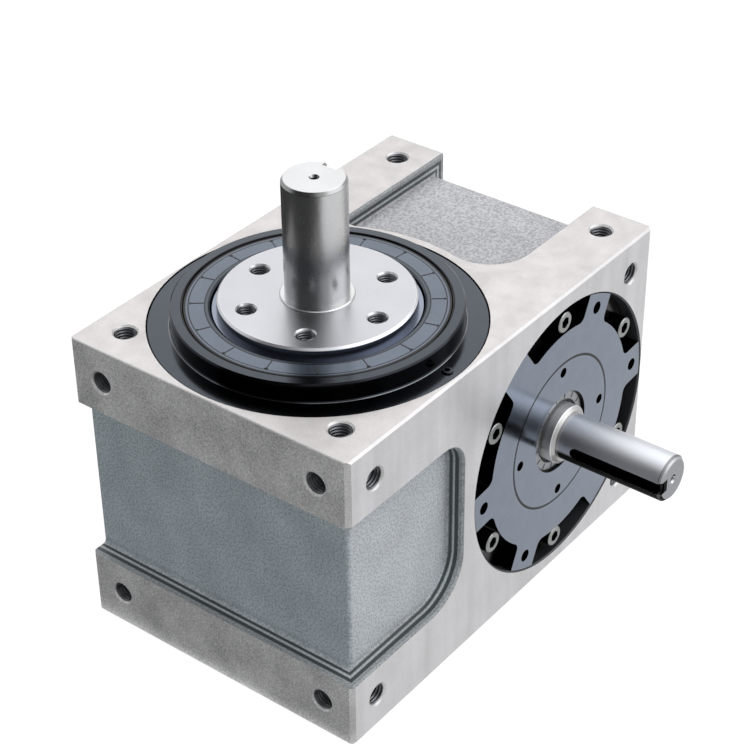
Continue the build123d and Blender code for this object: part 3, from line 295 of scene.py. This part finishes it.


# Tapped threads of the corner holes in the housing's six faces. Cut into the iron after milling: clean metal wet
# with cutting oil, coloured dark as painted shade inside the holes.
def tapped_threads(name, mouths, inward, radius, start, length, pitch, material, body):
    """Internal threads below the mouths of like holes, as one helical sleeve in each."""
    inward = Vector(inward)
    side = inward.orthogonal().normalized()
    other = inward.cross(side)
    segments, rows_per_turn = 40, 6
    steps = round(length / pitch * rows_per_turn)
    ridge = pitch * 0.55
    slack = 0.03
    points, faces = [], []
    for mouth_point in mouths:
        first = len(points)
        for step in range(steps + 1):
            level = Vector(mouth_point) + inward * (start + step * pitch / rows_per_turn)
            for j in range(segments):
                turn = 2 * math.pi * j / segments
                phase = (step / rows_per_turn - j / segments) % 1
                reach = radius - slack - ridge * abs(2 * phase - 1)
                points.append(level + (side * math.cos(turn) + other * math.sin(turn)) * reach)
        for step in range(steps):
            for j in range(segments):
                a = first + step * segments + j
                b = first + step * segments + (j + 1) % segments
                faces.append((a, b, b + segments, a + segments))
    piece = add_mesh(name, points, faces, material, body)
    piece.data.polygons.foreach_set("use_smooth", [True] * len(faces))


oil_and_shade_thread, tree, skin, position = new_material("thread_oil_and_painted_shade", Metallic=0.85)
thread_grain = use(tree, milled, Position=position, Grain=0.5, Mottle=0.5, Cloud=0.3)
# painted shade: the thread colour is darkened for the shade inside the holes
feed(tree, skin["Base Color"], toned(tree, (0.13, 0.135, 0.145), thread_grain["Tone"]))
feed(tree, skin["Roughness"], calc(tree, "ADD", 0.28, calc(tree, "MULTIPLY", thread_grain["Height"], 0.15)))
hole_inset = 17.0
near_x, far_x = box_low[0] + hole_inset, box_high[0] - hole_inset
near_y, far_y = box_low[1] + hole_inset, box_high[1] - hole_inset
low_z, high_z = hole_inset, box_high[2] - hole_inset
face_holes = [
    ("top", [(a, b, box_high[2]) for a in (near_x, far_x) for b in (near_y, far_y)], (0, 0, -1), 5.0, 1.5),
    ("base", [(a, b, box_low[2]) for a in (near_x, far_x) for b in (near_y, far_y)], (0, 0, 1), 6.0, 1.75),
    ("front", [(a, box_low[1], b) for a in (near_x, far_x) for b in (low_z, high_z)], (0, 1, 0), 5.0, 1.5),
    ("rear", [(a, box_high[1], b) for a in (near_x, far_x) for b in (low_z, high_z)], (0, -1, 0), 4.0, 1.25),
    ("left", [(box_low[0], a, b) for a in (near_y, far_y) for b in (low_z, high_z)], (1, 0, 0), 5.0, 1.5),
    ("right", [(box_high[0], a, b) for a in (near_y, far_y) for b in (low_z, high_z)], (-1, 0, 0), 4.0, 1.25),
]
mouth_chamfer = 0.75
corner_thread_length = 9.9
for side_name, mouths, inward, radius, pitch in face_holes:
    tapped_threads(f"{side_name}_hole_threads", mouths, inward, radius, mouth_chamfer, corner_thread_length,
                   pitch, oil_and_shade_thread, "gearbox")

# Bottom cover and its six sunk screws. A turned steel plate, blackened in a hot salt bath,
# that closes the lower bearing seat flush with the base.

# the fine circular lay that a lathe leaves, with the place in radius and height
turned_lay, given, made = start_group(
    "Turned lay",
    [("Position", "Vector"), ("Center", "Vector"), ("Axis", "Vector"), ("Pitch", "Float"), ("Depth", "Float")],
    [("Tone", "Float"), ("Height", "Float"), ("Radius", "Float"), ("Level", "Float")],
)
offset = along(turned_lay, "MULTIPLY", given["Position"], (1 / MM,) * 3)
offset = along(turned_lay, "SUBTRACT", offset, given["Center"])
level = along(turned_lay, "DOT_PRODUCT", offset, given["Axis"])
outward = along(turned_lay, "SUBTRACT", offset, along(turned_lay, "MULTIPLY", given["Axis"], level))
radius = along(turned_lay, "LENGTH", outward)
run = calc(turned_lay, "DIVIDE", calc(turned_lay, "ADD", radius, level), given["Pitch"])
lines = shade(turned_lay, "TexNoise", {"W": run, "Scale": 1.0, "Detail": 3.0}, noise_dimensions="1D")
lines = lines.outputs["Fac"]
shift = calc(turned_lay, "MULTIPLY", calc(turned_lay, "SUBTRACT", lines, 0.5), given["Depth"])
feed(turned_lay, made["Tone"], calc(turned_lay, "ADD", 1.0, shift))
feed(turned_lay, made["Height"], lines)
feed(turned_lay, made["Radius"], radius)
feed(turned_lay, made["Level"], level)


def ring_line(tree, radius, place, width):
    """A thin mask line round an axis, at one radius."""
    gap = calc(tree, "ABSOLUTE", calc(tree, "SUBTRACT", radius, place))
    return calc(tree, "SUBTRACT", 1.0, fade(tree, gap, width / 2, width))


def black_oxide(name, center, axis, flat_color, wall_color, roughness, scribed=(), face_level=0.0):
    """Blackened turned steel: painted sheen on its flats, growing as the view grazes them, and painted shade
    making its walls and sunken flats deeper black.
    """
    material, tree, skin, position = new_material(name, Metallic=1.0)
    lay = use(tree, turned_lay, Position=position, Center=center, Axis=axis, Pitch=0.5, Depth=0.12)
    normal = shade(tree, "NewGeometry").outputs["True Normal"]
    # painted shade: walls, and flats sunk below face_level, take the darker wall colour
    flat = fade(tree, calc(tree, "ABSOLUTE", along(tree, "DOT_PRODUCT", normal, axis)), 0.55, 0.85)
    outer = fade(tree, calc(tree, "ABSOLUTE", lay["Level"]), face_level - 0.6, face_level - 0.3)
    flat = calc(tree, "MULTIPLY", flat, outer)
    clouds = noise(tree, position, 7.0, 2.0)
    # painted sheen: the flats grow lighter as the view grazes them
    facing = shade(tree, "LayerWeight", {"Blend": 0.5}).outputs["Facing"]
    sheen = fade(tree, facing, 0.15, 0.62)
    flats = tint(tree, sheen, tuple(0.35 * part for part in flat_color[:3]) + (1,), flat_color)
    color = tint(tree, flat, wall_color, flats)
    color = toned(tree, color, lay["Tone"])
    color = toned(tree, color, calc(tree, "ADD", 0.9, calc(tree, "MULTIPLY", clouds, 0.2)))
    for place, width, line_color in scribed:
        color = tint(tree, ring_line(tree, lay["Radius"], place, width), color, line_color)
    feed(tree, skin["Base Color"], color)
    feed(tree, skin["Roughness"], calc(tree, "ADD", roughness, calc(tree, "MULTIPLY", clouds, 0.05)))
    feed(tree, skin["Normal"], bump(tree, lay["Height"], 0.08, 0.01))
    return material


def screw_steel(name, axis, low, high):
    """Zinc-plated cap screws: dull silver head faces between two levels, all else near black as painted shade in
    the sockets.
    """
    material, tree, skin, position = new_material(name, Metallic=1.0)
    grain = use(tree, milled, Position=position, Grain=0.6, Mottle=0.4, Cloud=0.3)
    level = along(tree, "DOT_PRODUCT", along(tree, "MULTIPLY", position, (1 / MM,) * 3), axis)
    head = within(tree, calc(tree, "ABSOLUTE", level), low, high, 0.15)
    # painted shade: all but the head faces, the sockets too, near black
    color = tint(tree, head, (0.02, 0.02, 0.022, 1), (0.26, 0.265, 0.265, 1))
    feed(tree, skin["Base Color"], toned(tree, color, grain["Tone"]))
    feed(tree, skin["Roughness"], calc(tree, "ADD", 0.3, calc(tree, "MULTIPLY", grain["Height"], 0.16)))
    feed(tree, skin["Normal"], bump(tree, grain["Height"], 0.3, 0.02))
    return material


up = (0.0, 0.0, 1.0)
output_center = (0.0, 0.0, 0.0)
slate = (0.05, 0.058, 0.069, 1)
scratch = (0.005, 0.005, 0.006, 1)
jet = (0.012, 0.012, 0.014, 1)
cover_line = [(48.6, 0.3, scratch)]
finish(black_oxide("bottom_cover_black", output_center, up, slate, jet, 0.2, cover_line), "bottom_cover")
finish(screw_steel("base_screw_steel", up, 0.0, 0.9), "bottom_cover_screws")

# Tapered roller bearings. Ground bearing steel races and rollers, with pressed steel cages.
ground, tree, skin, position = new_material("ground_bearing_steel", Metallic=1.0)
ground_grain = use(tree, milled, Position=position, Grain=0.4, Mottle=0.12, Cloud=0.1)
feed(tree, skin["Base Color"], toned(tree, (0.62, 0.63, 0.65), ground_grain["Tone"]))
feed(tree, skin["Roughness"], calc(tree, "ADD", 0.14, calc(tree, "MULTIPLY", ground_grain["Height"], 0.1)))
feed(tree, skin["Normal"], bump(tree, ground_grain["Height"], 0.2, 0.01))
for bearing in ("upper", "lower", "front", "rear"):
    finish(ground, f"{bearing}_bearing_cup", f"{bearing}_bearing_cone", f"{bearing}_bearing_rollers")

# Turret flange. The output spindle, turned from one steel forging: bright face with a fine
# circular lay, six tapped holes for the driven plate, journal for the oil seal below.
bright, tree, skin, position = new_material("bright_turned_steel", Metallic=1.0, Anisotropic=0.5)
lay = use(tree, turned_lay, Position=position, Center=output_center, Axis=up, Pitch=0.45, Depth=0.10)
haze = use(tree, milled, Position=position, Grain=0.7, Mottle=0.10, Cloud=0.12)
steel_color = toned(tree, toned(tree, (0.395, 0.398, 0.42), lay["Tone"]), haze["Tone"])
# painted highlight: a bright line on the rim's chamfer
rim = ring_line(tree, lay["Radius"], 42.4, 0.7)
steel_color = tint(tree, calc(tree, "MULTIPLY", rim, 0.5), steel_color, (0.80, 0.81, 0.85, 1))
# painted reflection: the rim's wall below the face, dark blue as the seal mirrored in it
rim_wall_reflection = calc(tree, "MULTIPLY", fade(tree, lay["Radius"], 42.75, 42.95), fade(tree, lay["Level"], 100.0, 101.0))
steel_color = tint(tree, rim_wall_reflection, steel_color, (0.20, 0.22, 0.27, 1))
feed(tree, skin["Base Color"], steel_color)
feed(tree, skin["Roughness"], calc(tree, "ADD", 0.24, calc(tree, "MULTIPLY", haze["Height"], 0.12)))
feed(tree, skin["Normal"], bump(tree, lay["Height"], 0.1, 0.01))
feed(tree, skin["Tangent"], shade(tree, "Tangent", direction_type="RADIAL", axis="Z").outputs[0])
finish(bright, "turret_flange")
flange_circle_radius = 32
flange_face_z = 162
flange_mouths = []
for turn in range(30, 390, 60):
    angle = math.radians(turn)
    flange_mouths.append((flange_circle_radius * math.cos(angle), flange_circle_radius * math.sin(angle),
                          flange_face_z))
tapped_threads("flange_hole_threads", flange_mouths, (0, 0, -1), 4.0, 0.65, 16.5, 1.25, oil_and_shade_thread,
               "output")

# Output shaft. A ground steel bar pressed into the flange, with a keyway down its back and
# the centre hole that it was ground on.
drawn, tree, skin, position = new_material("ground_output_shaft", Metallic=1.0, Anisotropic=0.4)
lay = use(tree, turned_lay, Position=position, Center=output_center, Axis=up, Pitch=0.9, Depth=0.05)
haze = use(tree, milled, Position=position, Grain=2.5, Mottle=0.05, Cloud=0.10)
shaft_color = toned(tree, toned(tree, (0.54, 0.545, 0.55), lay["Tone"]), haze["Tone"])
facing = shade(tree, "NewGeometry").outputs["True Normal"]
# painted shade: the end face and its chamfer are darkened
shaded_end_face = fade(tree, along(tree, "DOT_PRODUCT", facing, up), 0.3, 0.9)
shaft_color = toned(tree, shaft_color, calc(tree, "SUBTRACT", 1.0, calc(tree, "MULTIPLY", shaded_end_face, 0.12)))
shaded_end_chamfer = within(tree, lay["Level"], 216.3, 217.8, 0.15)
shaft_color = toned(tree, shaft_color, calc(tree, "SUBTRACT", 1.0, calc(tree, "MULTIPLY", shaded_end_chamfer, 0.45)))
feed(tree, skin["Base Color"], shaft_color)
feed(tree, skin["Roughness"], calc(tree, "ADD", 0.26, calc(tree, "MULTIPLY", haze["Height"], 0.04)))
feed(tree, skin["Tangent"], shade(tree, "Tangent", direction_type="RADIAL", axis="Z").outputs[0])
finish(drawn, "output_shaft")

# Follower studs and cam rollers. Eight studs pressed into the spindle, each with a roller
# turning on it. Hardened steel, ground all over, running in oil.
hard, tree, skin, position = new_material("hardened_steel_in_oil", Metallic=1.0, Coat_Roughness=0.05)
hard_grain = use(tree, milled, Position=position, Grain=0.9, Mottle=0.18, Cloud=0.25)
feed(tree, skin["Base Color"], toned(tree, (0.52, 0.51, 0.50), hard_grain["Tone"]))
feed(tree, skin["Roughness"], calc(tree, "ADD", 0.16, calc(tree, "MULTIPLY", hard_grain["Height"], 0.1)))
feed(tree, skin["Coat Weight"], calc(tree, "MULTIPLY", hard_grain["Height"], 0.6))
feed(tree, skin["Normal"], bump(tree, hard_grain["Height"], 0.2, 0.01))
finish(hard, "follower_studs", *[f"cam_roller_{number}" for number in range(1, 9)])

# Globoidal cam with its key and retaining ring. Case-hardened steel, its rib ground to shape,
# keyed on the input shaft and held there by the spring ring.
finish(hard, "globoidal_cam", "cam_key", "cam_retaining_ring")

# Input shaft. Turned and ground steel, with a milled keyway in its drive end. Painted shade darkens its underside,
# its keyway and its end. The journal at its root runs in the seal.
input_center = (80.0, 0.0, 75.0)
across_box = (0.0, 1.0, 0.0)
polished, tree, skin, position = new_material("ground_input_shaft", Metallic=1.0)
lay = use(tree, turned_lay, Position=position, Center=input_center, Axis=across_box, Pitch=0.9, Depth=0.05)
haze = use(tree, milled, Position=position, Grain=2.5, Mottle=0.05, Cloud=0.10)
shaft_color = toned(tree, toned(tree, (0.60, 0.62, 0.655), lay["Tone"]), haze["Tone"])
facing = shade(tree, "NewGeometry").outputs["True Normal"]
shaded_end_face = fade(tree, calc(tree, "ABSOLUTE", along(tree, "DOT_PRODUCT", facing, across_box)), 0.3, 0.9)
# painted shade on the end face
shaft_color = toned(tree, shaft_color, calc(tree, "SUBTRACT", 1.0, calc(tree, "MULTIPLY", shaded_end_face, 0.52)))
# painted shade under the shaft and in its keyway
shaded_underside = fade(tree, along(tree, "DOT_PRODUCT", facing, (-0.2, 0.0, -1.0)), 0.28, 0.44)
shaft_place = along(tree, "MULTIPLY", position, (1 / MM,) * 3)
shaft_x, shaft_y, shaft_z = shade(tree, "SeparateXYZ", {"Vector": shaft_place}).outputs
keyway_half = 3.05
beside = within(tree, shaft_z, input_center[2] - keyway_half, input_center[2] + keyway_half, 0.1)
keyway = calc(tree, "MULTIPLY", beside, calc(tree, "LESS_THAN", shaft_x, input_center[0] - 5.0))
keyway = calc(tree, "MULTIPLY", keyway, calc(tree, "LESS_THAN", lay["Radius"], 10.85))
keyway = calc(tree, "MULTIPLY", keyway, calc(tree, "LESS_THAN", shaft_y, -79.0))
underside_and_keyway_shade = calc(tree, "MAXIMUM", shaded_underside, keyway)
shaft_color = tint(tree, underside_and_keyway_shade, shaft_color, (0.003, 0.003, 0.003, 1))
# painted shade on the end chamfer line, and a painted highlight on the journal's edge
shaded_chamfer_line = within(tree, lay["Level"], -132.5, -131.7, 0.3)
shaft_color = tint(tree, calc(tree, "MULTIPLY", shaded_chamfer_line, 0.7), shaft_color, (0.12, 0.11, 0.11, 1))
journal_edge_highlight = within(tree, lay["Level"], -79.7, -78.2, 0.2)
shaft_color = tint(tree, calc(tree, "MULTIPLY", journal_edge_highlight, 0.7), shaft_color, (0.46, 0.45, 0.44, 1))
journal = within(tree, lay["Level"], -78.0, -60.0, 0.2)
shaft_color = tint(tree, journal, shaft_color, toned(tree, (0.74, 0.745, 0.76), lay["Tone"]))
feed(tree, skin["Base Color"], shaft_color)
shaft_rough = calc(tree, "ADD", 0.42, calc(tree, "MULTIPLY", haze["Height"], 0.05))
feed(tree, skin["Roughness"], calc(tree, "ADD", shaft_rough, calc(tree, "MULTIPLY", underside_and_keyway_shade, 0.3)))
feed(tree, skin["Normal"], bump(tree, lay["Height"], 0.03, 0.01))
finish(polished, "input_shaft")

# Eccentric bearing flanges and their caps, front and rear. Turned steel, blackened, each
# held by six plated cap screws in milled slots of its rim.
gray_slate = (0.180, 0.206, 0.254, 1)
cap_line = [(37.5, 0.8, scratch)]
flange_screw = screw_steel("flange_screw_steel", across_box, 73.9, 76.0)
flange_face_level = 74.5
for side_name in ("front", "rear"):
    face_black = black_oxide(f"{side_name}_flange_black", input_center, across_box, gray_slate, jet, 0.14,
                             cap_line, flange_face_level)
    finish(face_black, f"{side_name}_bearing_flange", f"{side_name}_bearing_cap")
    finish(flange_screw, f"{side_name}_flange_screws")

# Oil seals and rubber rings. Nitrile rubber moulded on steel rings, with painted shade darkening the face inside
# the lip.
rubber, tree, skin, position = new_material("oil_seal_rubber", Metallic=0.7)
rubber_lay = use(tree, turned_lay, Position=position, Center=output_center, Axis=up, Pitch=0.5, Depth=0.2)
rubber_grain = use(tree, milled, Position=position, Grain=0.6, Mottle=0.3, Cloud=0.3)
rubber_color = toned(tree, (0.086, 0.105, 0.135), rubber_grain["Tone"])
# painted shade: the face inside the lip is darker
rubber_color = tint(tree, fade(tree, rubber_lay["Radius"], 48.1, 47.6), rubber_color, (0.04, 0.048, 0.062, 1))
for place, width in ((56.9, 1.1), (55.0, 0.35), (48.0, 0.35)):
    groove = ring_line(tree, rubber_lay["Radius"], place, width)
    rubber_color = tint(tree, groove, rubber_color, (0.003, 0.003, 0.004, 1))
feed(tree, skin["Base Color"], rubber_color)
feed(tree, skin["Roughness"], calc(tree, "ADD", 0.16, calc(tree, "MULTIPLY", rubber_grain["Height"], 0.1)))
feed(tree, skin["Normal"], bump(tree, rubber_grain["Height"], 0.1, 0.01))
finish(rubber, "output_oil_seal", "front_flange_seal", "rear_flange_seal")

seal_steel, tree, skin, position = new_material("steel_faced_seal", Metallic=0.8)
face_lay = use(tree, turned_lay, Position=position, Center=input_center, Axis=across_box, Pitch=0.6, Depth=0.3)
face_color = toned(tree, (0.24, 0.25, 0.265), face_lay["Tone"])
for place, width in ((19.6, 0.7), (15.2, 0.7)):
    groove = ring_line(tree, face_lay["Radius"], place, width)
    face_color = tint(tree, groove, face_color, (0.01, 0.01, 0.011, 1))
feed(tree, skin["Base Color"], face_color)
feed(tree, skin["Roughness"], calc(tree, "ADD", 0.25, calc(tree, "MULTIPLY", face_lay["Height"], 0.1)))
feed(tree, skin["Normal"], bump(tree, face_lay["Height"], 0.2, 0.02))
finish(seal_steel, "input_oil_seal")

marks, tree, skin, position = new_material("moulded_rib_rubber", Metallic=0.0)
mark_grain = use(tree, milled, Position=position, Grain=0.5, Mottle=0.4, Cloud=0.3)
feed(tree, skin["Base Color"], toned(tree, (0.006, 0.007, 0.009), mark_grain["Tone"]))
feed(tree, skin["Roughness"], calc(tree, "ADD", 0.4, calc(tree, "MULTIPLY", mark_grain["Height"], 0.2)))


# Moulded ribs and dots on the faces of both oil seals. Short radial bars, made in the mould
# as part of the rubber.
def radial_bars(name, center, side, other, out, count, phase, inner, outer, width, rise):
    """Low bars on a round face, each a box from the inner to the outer radius."""
    points, faces = [], []
    for number in range(count):
        turn = math.radians(phase + 360 * number / count)
        reach = side * math.cos(turn) + other * math.sin(turn)
        sideways = reach.cross(out) * (width / 2)
        first = len(points)
        for radius, half, lift in ((inner, 1, -0.2), (outer, 1, -0.2), (inner, 0.6, rise), (outer, 0.6, rise)):
            middle = center + reach * radius + out * lift
            points += [middle - sideways * half, middle + sideways * half]
        a, b, c, d, e, f, g, h = range(first, first + 8)
        faces += [(e, f, h, g), (a, c, d, b), (a, b, f, e), (c, g, h, d), (a, e, g, c), (b, d, h, f)]
    add_mesh(name, points, faces, marks, "gearbox")


output_seal_face = Vector((0, 0, 158.0))
input_seal_face = Vector((80, -73.0, 75))
rib_count = 16
rib_rise = 0.16
along_x, along_y, along_z = Vector((1, 0, 0)), Vector((0, 1, 0)), Vector((0, 0, 1))
radial_bars("output_seal_ribs", output_seal_face, along_x, along_y, along_z,
            rib_count, 16.2, 48.4, 54.4, 0.62, rib_rise)
radial_bars("output_seal_dots", output_seal_face, along_x, along_y, along_z,
            rib_count, 16.2, 53.9, 54.5, 2.4, rib_rise)
radial_bars("input_seal_ribs", input_seal_face, along_x, along_z, -along_y,
            rib_count, 8.0, 16.2, 18.8, 0.6, rib_rise)

# Top bearing cover and its lock screw. A turned steel ring, blackened, screwed in over the
# upper bearing and kept from turning by the small screw in its rim.
# the first line, at the foot of the ring wall, is a painted highlight; the second is a dark groove line
cover_black = black_oxide("top_cover_black", output_center, up, slate, jet, 0.13,
                          [(63.6, 0.3, (0.12, 0.13, 0.14, 1)), (57.9, 0.6, scratch)])
finish(cover_black, "top_bearing_cover")
finish(black_oxide("lock_screw_black", (0.0, -67.9, 0.0), up, slate, jet, 0.2), "cover_lock_screw")

# Oil plugs and sight glass, screwed into the painted end panel. The plugs are plated steel,
# and the glass sits in a turned brass bezel.
plated, tree, skin, position = new_material("plated_plug_steel", Metallic=1.0)
plug_grain = use(tree, milled, Position=position, Grain=0.7, Mottle=0.2, Cloud=0.2)
feed(tree, skin["Base Color"], toned(tree, (0.40, 0.40, 0.39), plug_grain["Tone"]))
feed(tree, skin["Roughness"], calc(tree, "ADD", 0.24, calc(tree, "MULTIPLY", plug_grain["Height"], 0.15)))
feed(tree, skin["Normal"], bump(tree, plug_grain["Height"], 0.3, 0.02))
finish(plated, "oil_fill_plug", "oil_drain_plug")

brass, tree, skin, position = new_material("turned_brass", Metallic=1.0)
brass_lay = use(tree, turned_lay, Position=position, Center=(150.0, 0.0, 70.0), Axis=(1.0, 0.0, 0.0),
                Pitch=0.3, Depth=0.12)
feed(tree, skin["Base Color"], toned(tree, (0.52, 0.39, 0.20), brass_lay["Tone"]))
feed(tree, skin["Roughness"], calc(tree, "ADD", 0.2, calc(tree, "MULTIPLY", brass_lay["Height"], 0.12)))
feed(tree, skin["Normal"], bump(tree, brass_lay["Height"], 0.25, 0.02))
finish(brass, "sight_glass_bezel")

glass, tree, skin, position = new_material("sight_glass", Metallic=0.0, Transmission_Weight=0.85, IOR=1.47)
oil_level = fade(tree, shade(tree, "SeparateXYZ", {"Vector": position}).outputs["Z"], 0.0695, 0.0705)
smear = noise(tree, position, 3.0, 2.0)
feed(tree, skin["Base Color"], tint(tree, oil_level, (0.75, 0.60, 0.28, 1), (0.86, 0.88, 0.87, 1)))
feed(tree, skin["Roughness"], calc(tree, "ADD", 0.03, calc(tree, "MULTIPLY", smear, 0.06)))
feed(tree, skin["Normal"], bump(tree, smear, 0.05, 0.02))
finish(glass, "sight_glass_window")

# Studio. A white floor and backdrop, three soft lamps, a dark card for the metal to reflect,
# and the camera at the photograph's angle.
def shown_white(tree):
    """1 for rays from the camera, and for those that metal and glass send on."""
    rays = shade(tree, "LightPath").outputs
    sent_on = calc(tree, "MAXIMUM", rays["Is Glossy Ray"], rays["Is Transmission Ray"])
    return calc(tree, "MAXIMUM", rays["Is Camera Ray"], sent_on)


paper = bpy.data.materials.new("white_floor")
paper.use_nodes = True
tree = paper.node_tree
tree.nodes.clear()
seen = shown_white(tree)
across_floor = shade(tree, "SeparateXYZ", {"Vector": shade(tree, "TexCoord").outputs["Object"]}).outputs["X"]
laid = tint(tree, fade(tree, across_floor, -0.082, -0.072), (0.03, 0.03, 0.03, 1), (0.6, 0.6, 0.6, 1))
bounce = tint(tree, seen, laid, (0.17, 0.17, 0.17, 1))
matte = shade(tree, "BsdfDiffuse", {"Color": bounce}).outputs[0]
glow = shade(tree, "Emission", {"Color": (1, 1, 1, 1), "Strength": calc(tree, "MULTIPLY", seen, 0.9)}).outputs[0]
both = shade(tree, "AddShader")
tree.links.new(matte, both.inputs[0])
tree.links.new(glow, both.inputs[1])
tree.links.new(both.outputs[0], shade(tree, "OutputMaterial").inputs["Surface"])
floor_mesh = bpy.data.meshes.new("floor")
reach, floor_z = 12.0, -0.0004
floor_mesh.from_pydata([(-reach, -reach, floor_z), (reach, -reach, floor_z), (reach, reach, floor_z),
                        (-reach, reach, floor_z)], [], [(0, 1, 2, 3)])
floor = bpy.data.objects.new("floor", floor_mesh)
floor_mesh.materials.append(paper)
bpy.context.scene.collection.objects.link(floor)

world = bpy.data.worlds.new("studio")
bpy.context.scene.world = world
world.use_nodes = True
tree = world.node_tree
seen = shown_white(tree)
backdrop = tree.nodes["Background"]
feed(tree, backdrop.inputs["Color"], tint(tree, seen, (0.36, 0.365, 0.375, 1), (1, 1, 1, 1)))

aim = Vector((0.0375, 0.0, 0.075))


def softbox(name, place, width, height, watts):
    """A rectangular lamp that faces the part."""
    lamp = bpy.data.lights.new(name, "AREA")
    lamp.shape = "RECTANGLE"
    lamp.size, lamp.size_y, lamp.energy = width, height, watts
    light = bpy.data.objects.new(name, lamp)
    bpy.context.scene.collection.objects.link(light)
    light.location = place
    light.rotation_euler = (aim - Vector(place)).to_track_quat("-Z", "Y").to_euler()
    return light


softbox("key_softbox", (1.0, -1.6, 1.7), 2.6, 2.4, 38.0)
softbox("top_softbox", (0.8, 0.8, 1.7), 2.2, 2.0, 15.0)
side_fill = softbox("side_fill", (-2.2, -0.5, 0.7), 2.6, 2.2, 50.0)
side_fill.visible_glossy = False

# a folded dark card on the left, seen only in reflections, keeps the metal's left sides dark
card_mesh = bpy.data.meshes.new("dark_card")
card_mesh.from_pydata(
    [(-1.4, -1.6, 0.0), (-1.4, 1.4, 0.0), (-1.4, 1.4, 2.2), (-1.4, -1.6, 2.2), (0.5, 1.4, 0.0), (0.22, 0.2, 0.0),
     (-0.078, 0.09, 0.0), (-0.078, -0.09, 0.0), (-0.19, -0.12, 0.0), (-0.25, -1.6, 0.0)],
    [], [(0, 1, 2, 3), (0, 9, 8, 7, 6, 5, 4, 1)])
card = bpy.data.objects.new("dark_card", card_mesh)
card_black = bpy.data.materials.new("dark_card")
card_black.use_nodes = True
card_black.node_tree.nodes["Principled BSDF"].inputs["Base Color"].default_value = (0.03, 0.03, 0.03, 1)
card_black.node_tree.nodes["Principled BSDF"].inputs["Roughness"].default_value = 1.0
card_mesh.materials.append(card_black)
bpy.context.scene.collection.objects.link(card)
card.visible_camera = card.visible_diffuse = card.visible_shadow = False

camera_data = bpy.data.cameras.new("camera")
camera_data.sensor_width = 36.0
focal_pixels, frame_pixels = 2057.856, 750.0
camera_data.lens = focal_pixels * camera_data.sensor_width / frame_pixels
camera_data.clip_end = 100.0
camera = bpy.data.objects.new("camera", camera_data)
bpy.context.scene.collection.objects.link(camera)
azimuth, elevation, roll = math.radians(-52.0786), math.radians(34.6139), math.radians(-0.6590)
back = Vector((math.sin(azimuth) * math.cos(elevation), -math.cos(azimuth) * math.cos(elevation),
               math.sin(elevation)))
level_right = (-back).cross(Vector((0, 0, 1))).normalized()
level_up = level_right.cross(-back)
right = level_right * math.cos(roll) + level_up * math.sin(roll)
upward = -level_right * math.sin(roll) + level_up * math.cos(roll)
eye = aim + right * 0.000676 + upward * 0.019789 + back * 0.945218
camera.matrix_world = Matrix.Translation(eye) @ Matrix((right, upward, back)).transposed().to_4x4()
bpy.context.scene.camera = camera
bpy.context.scene.view_settings.view_transform = "Standard"
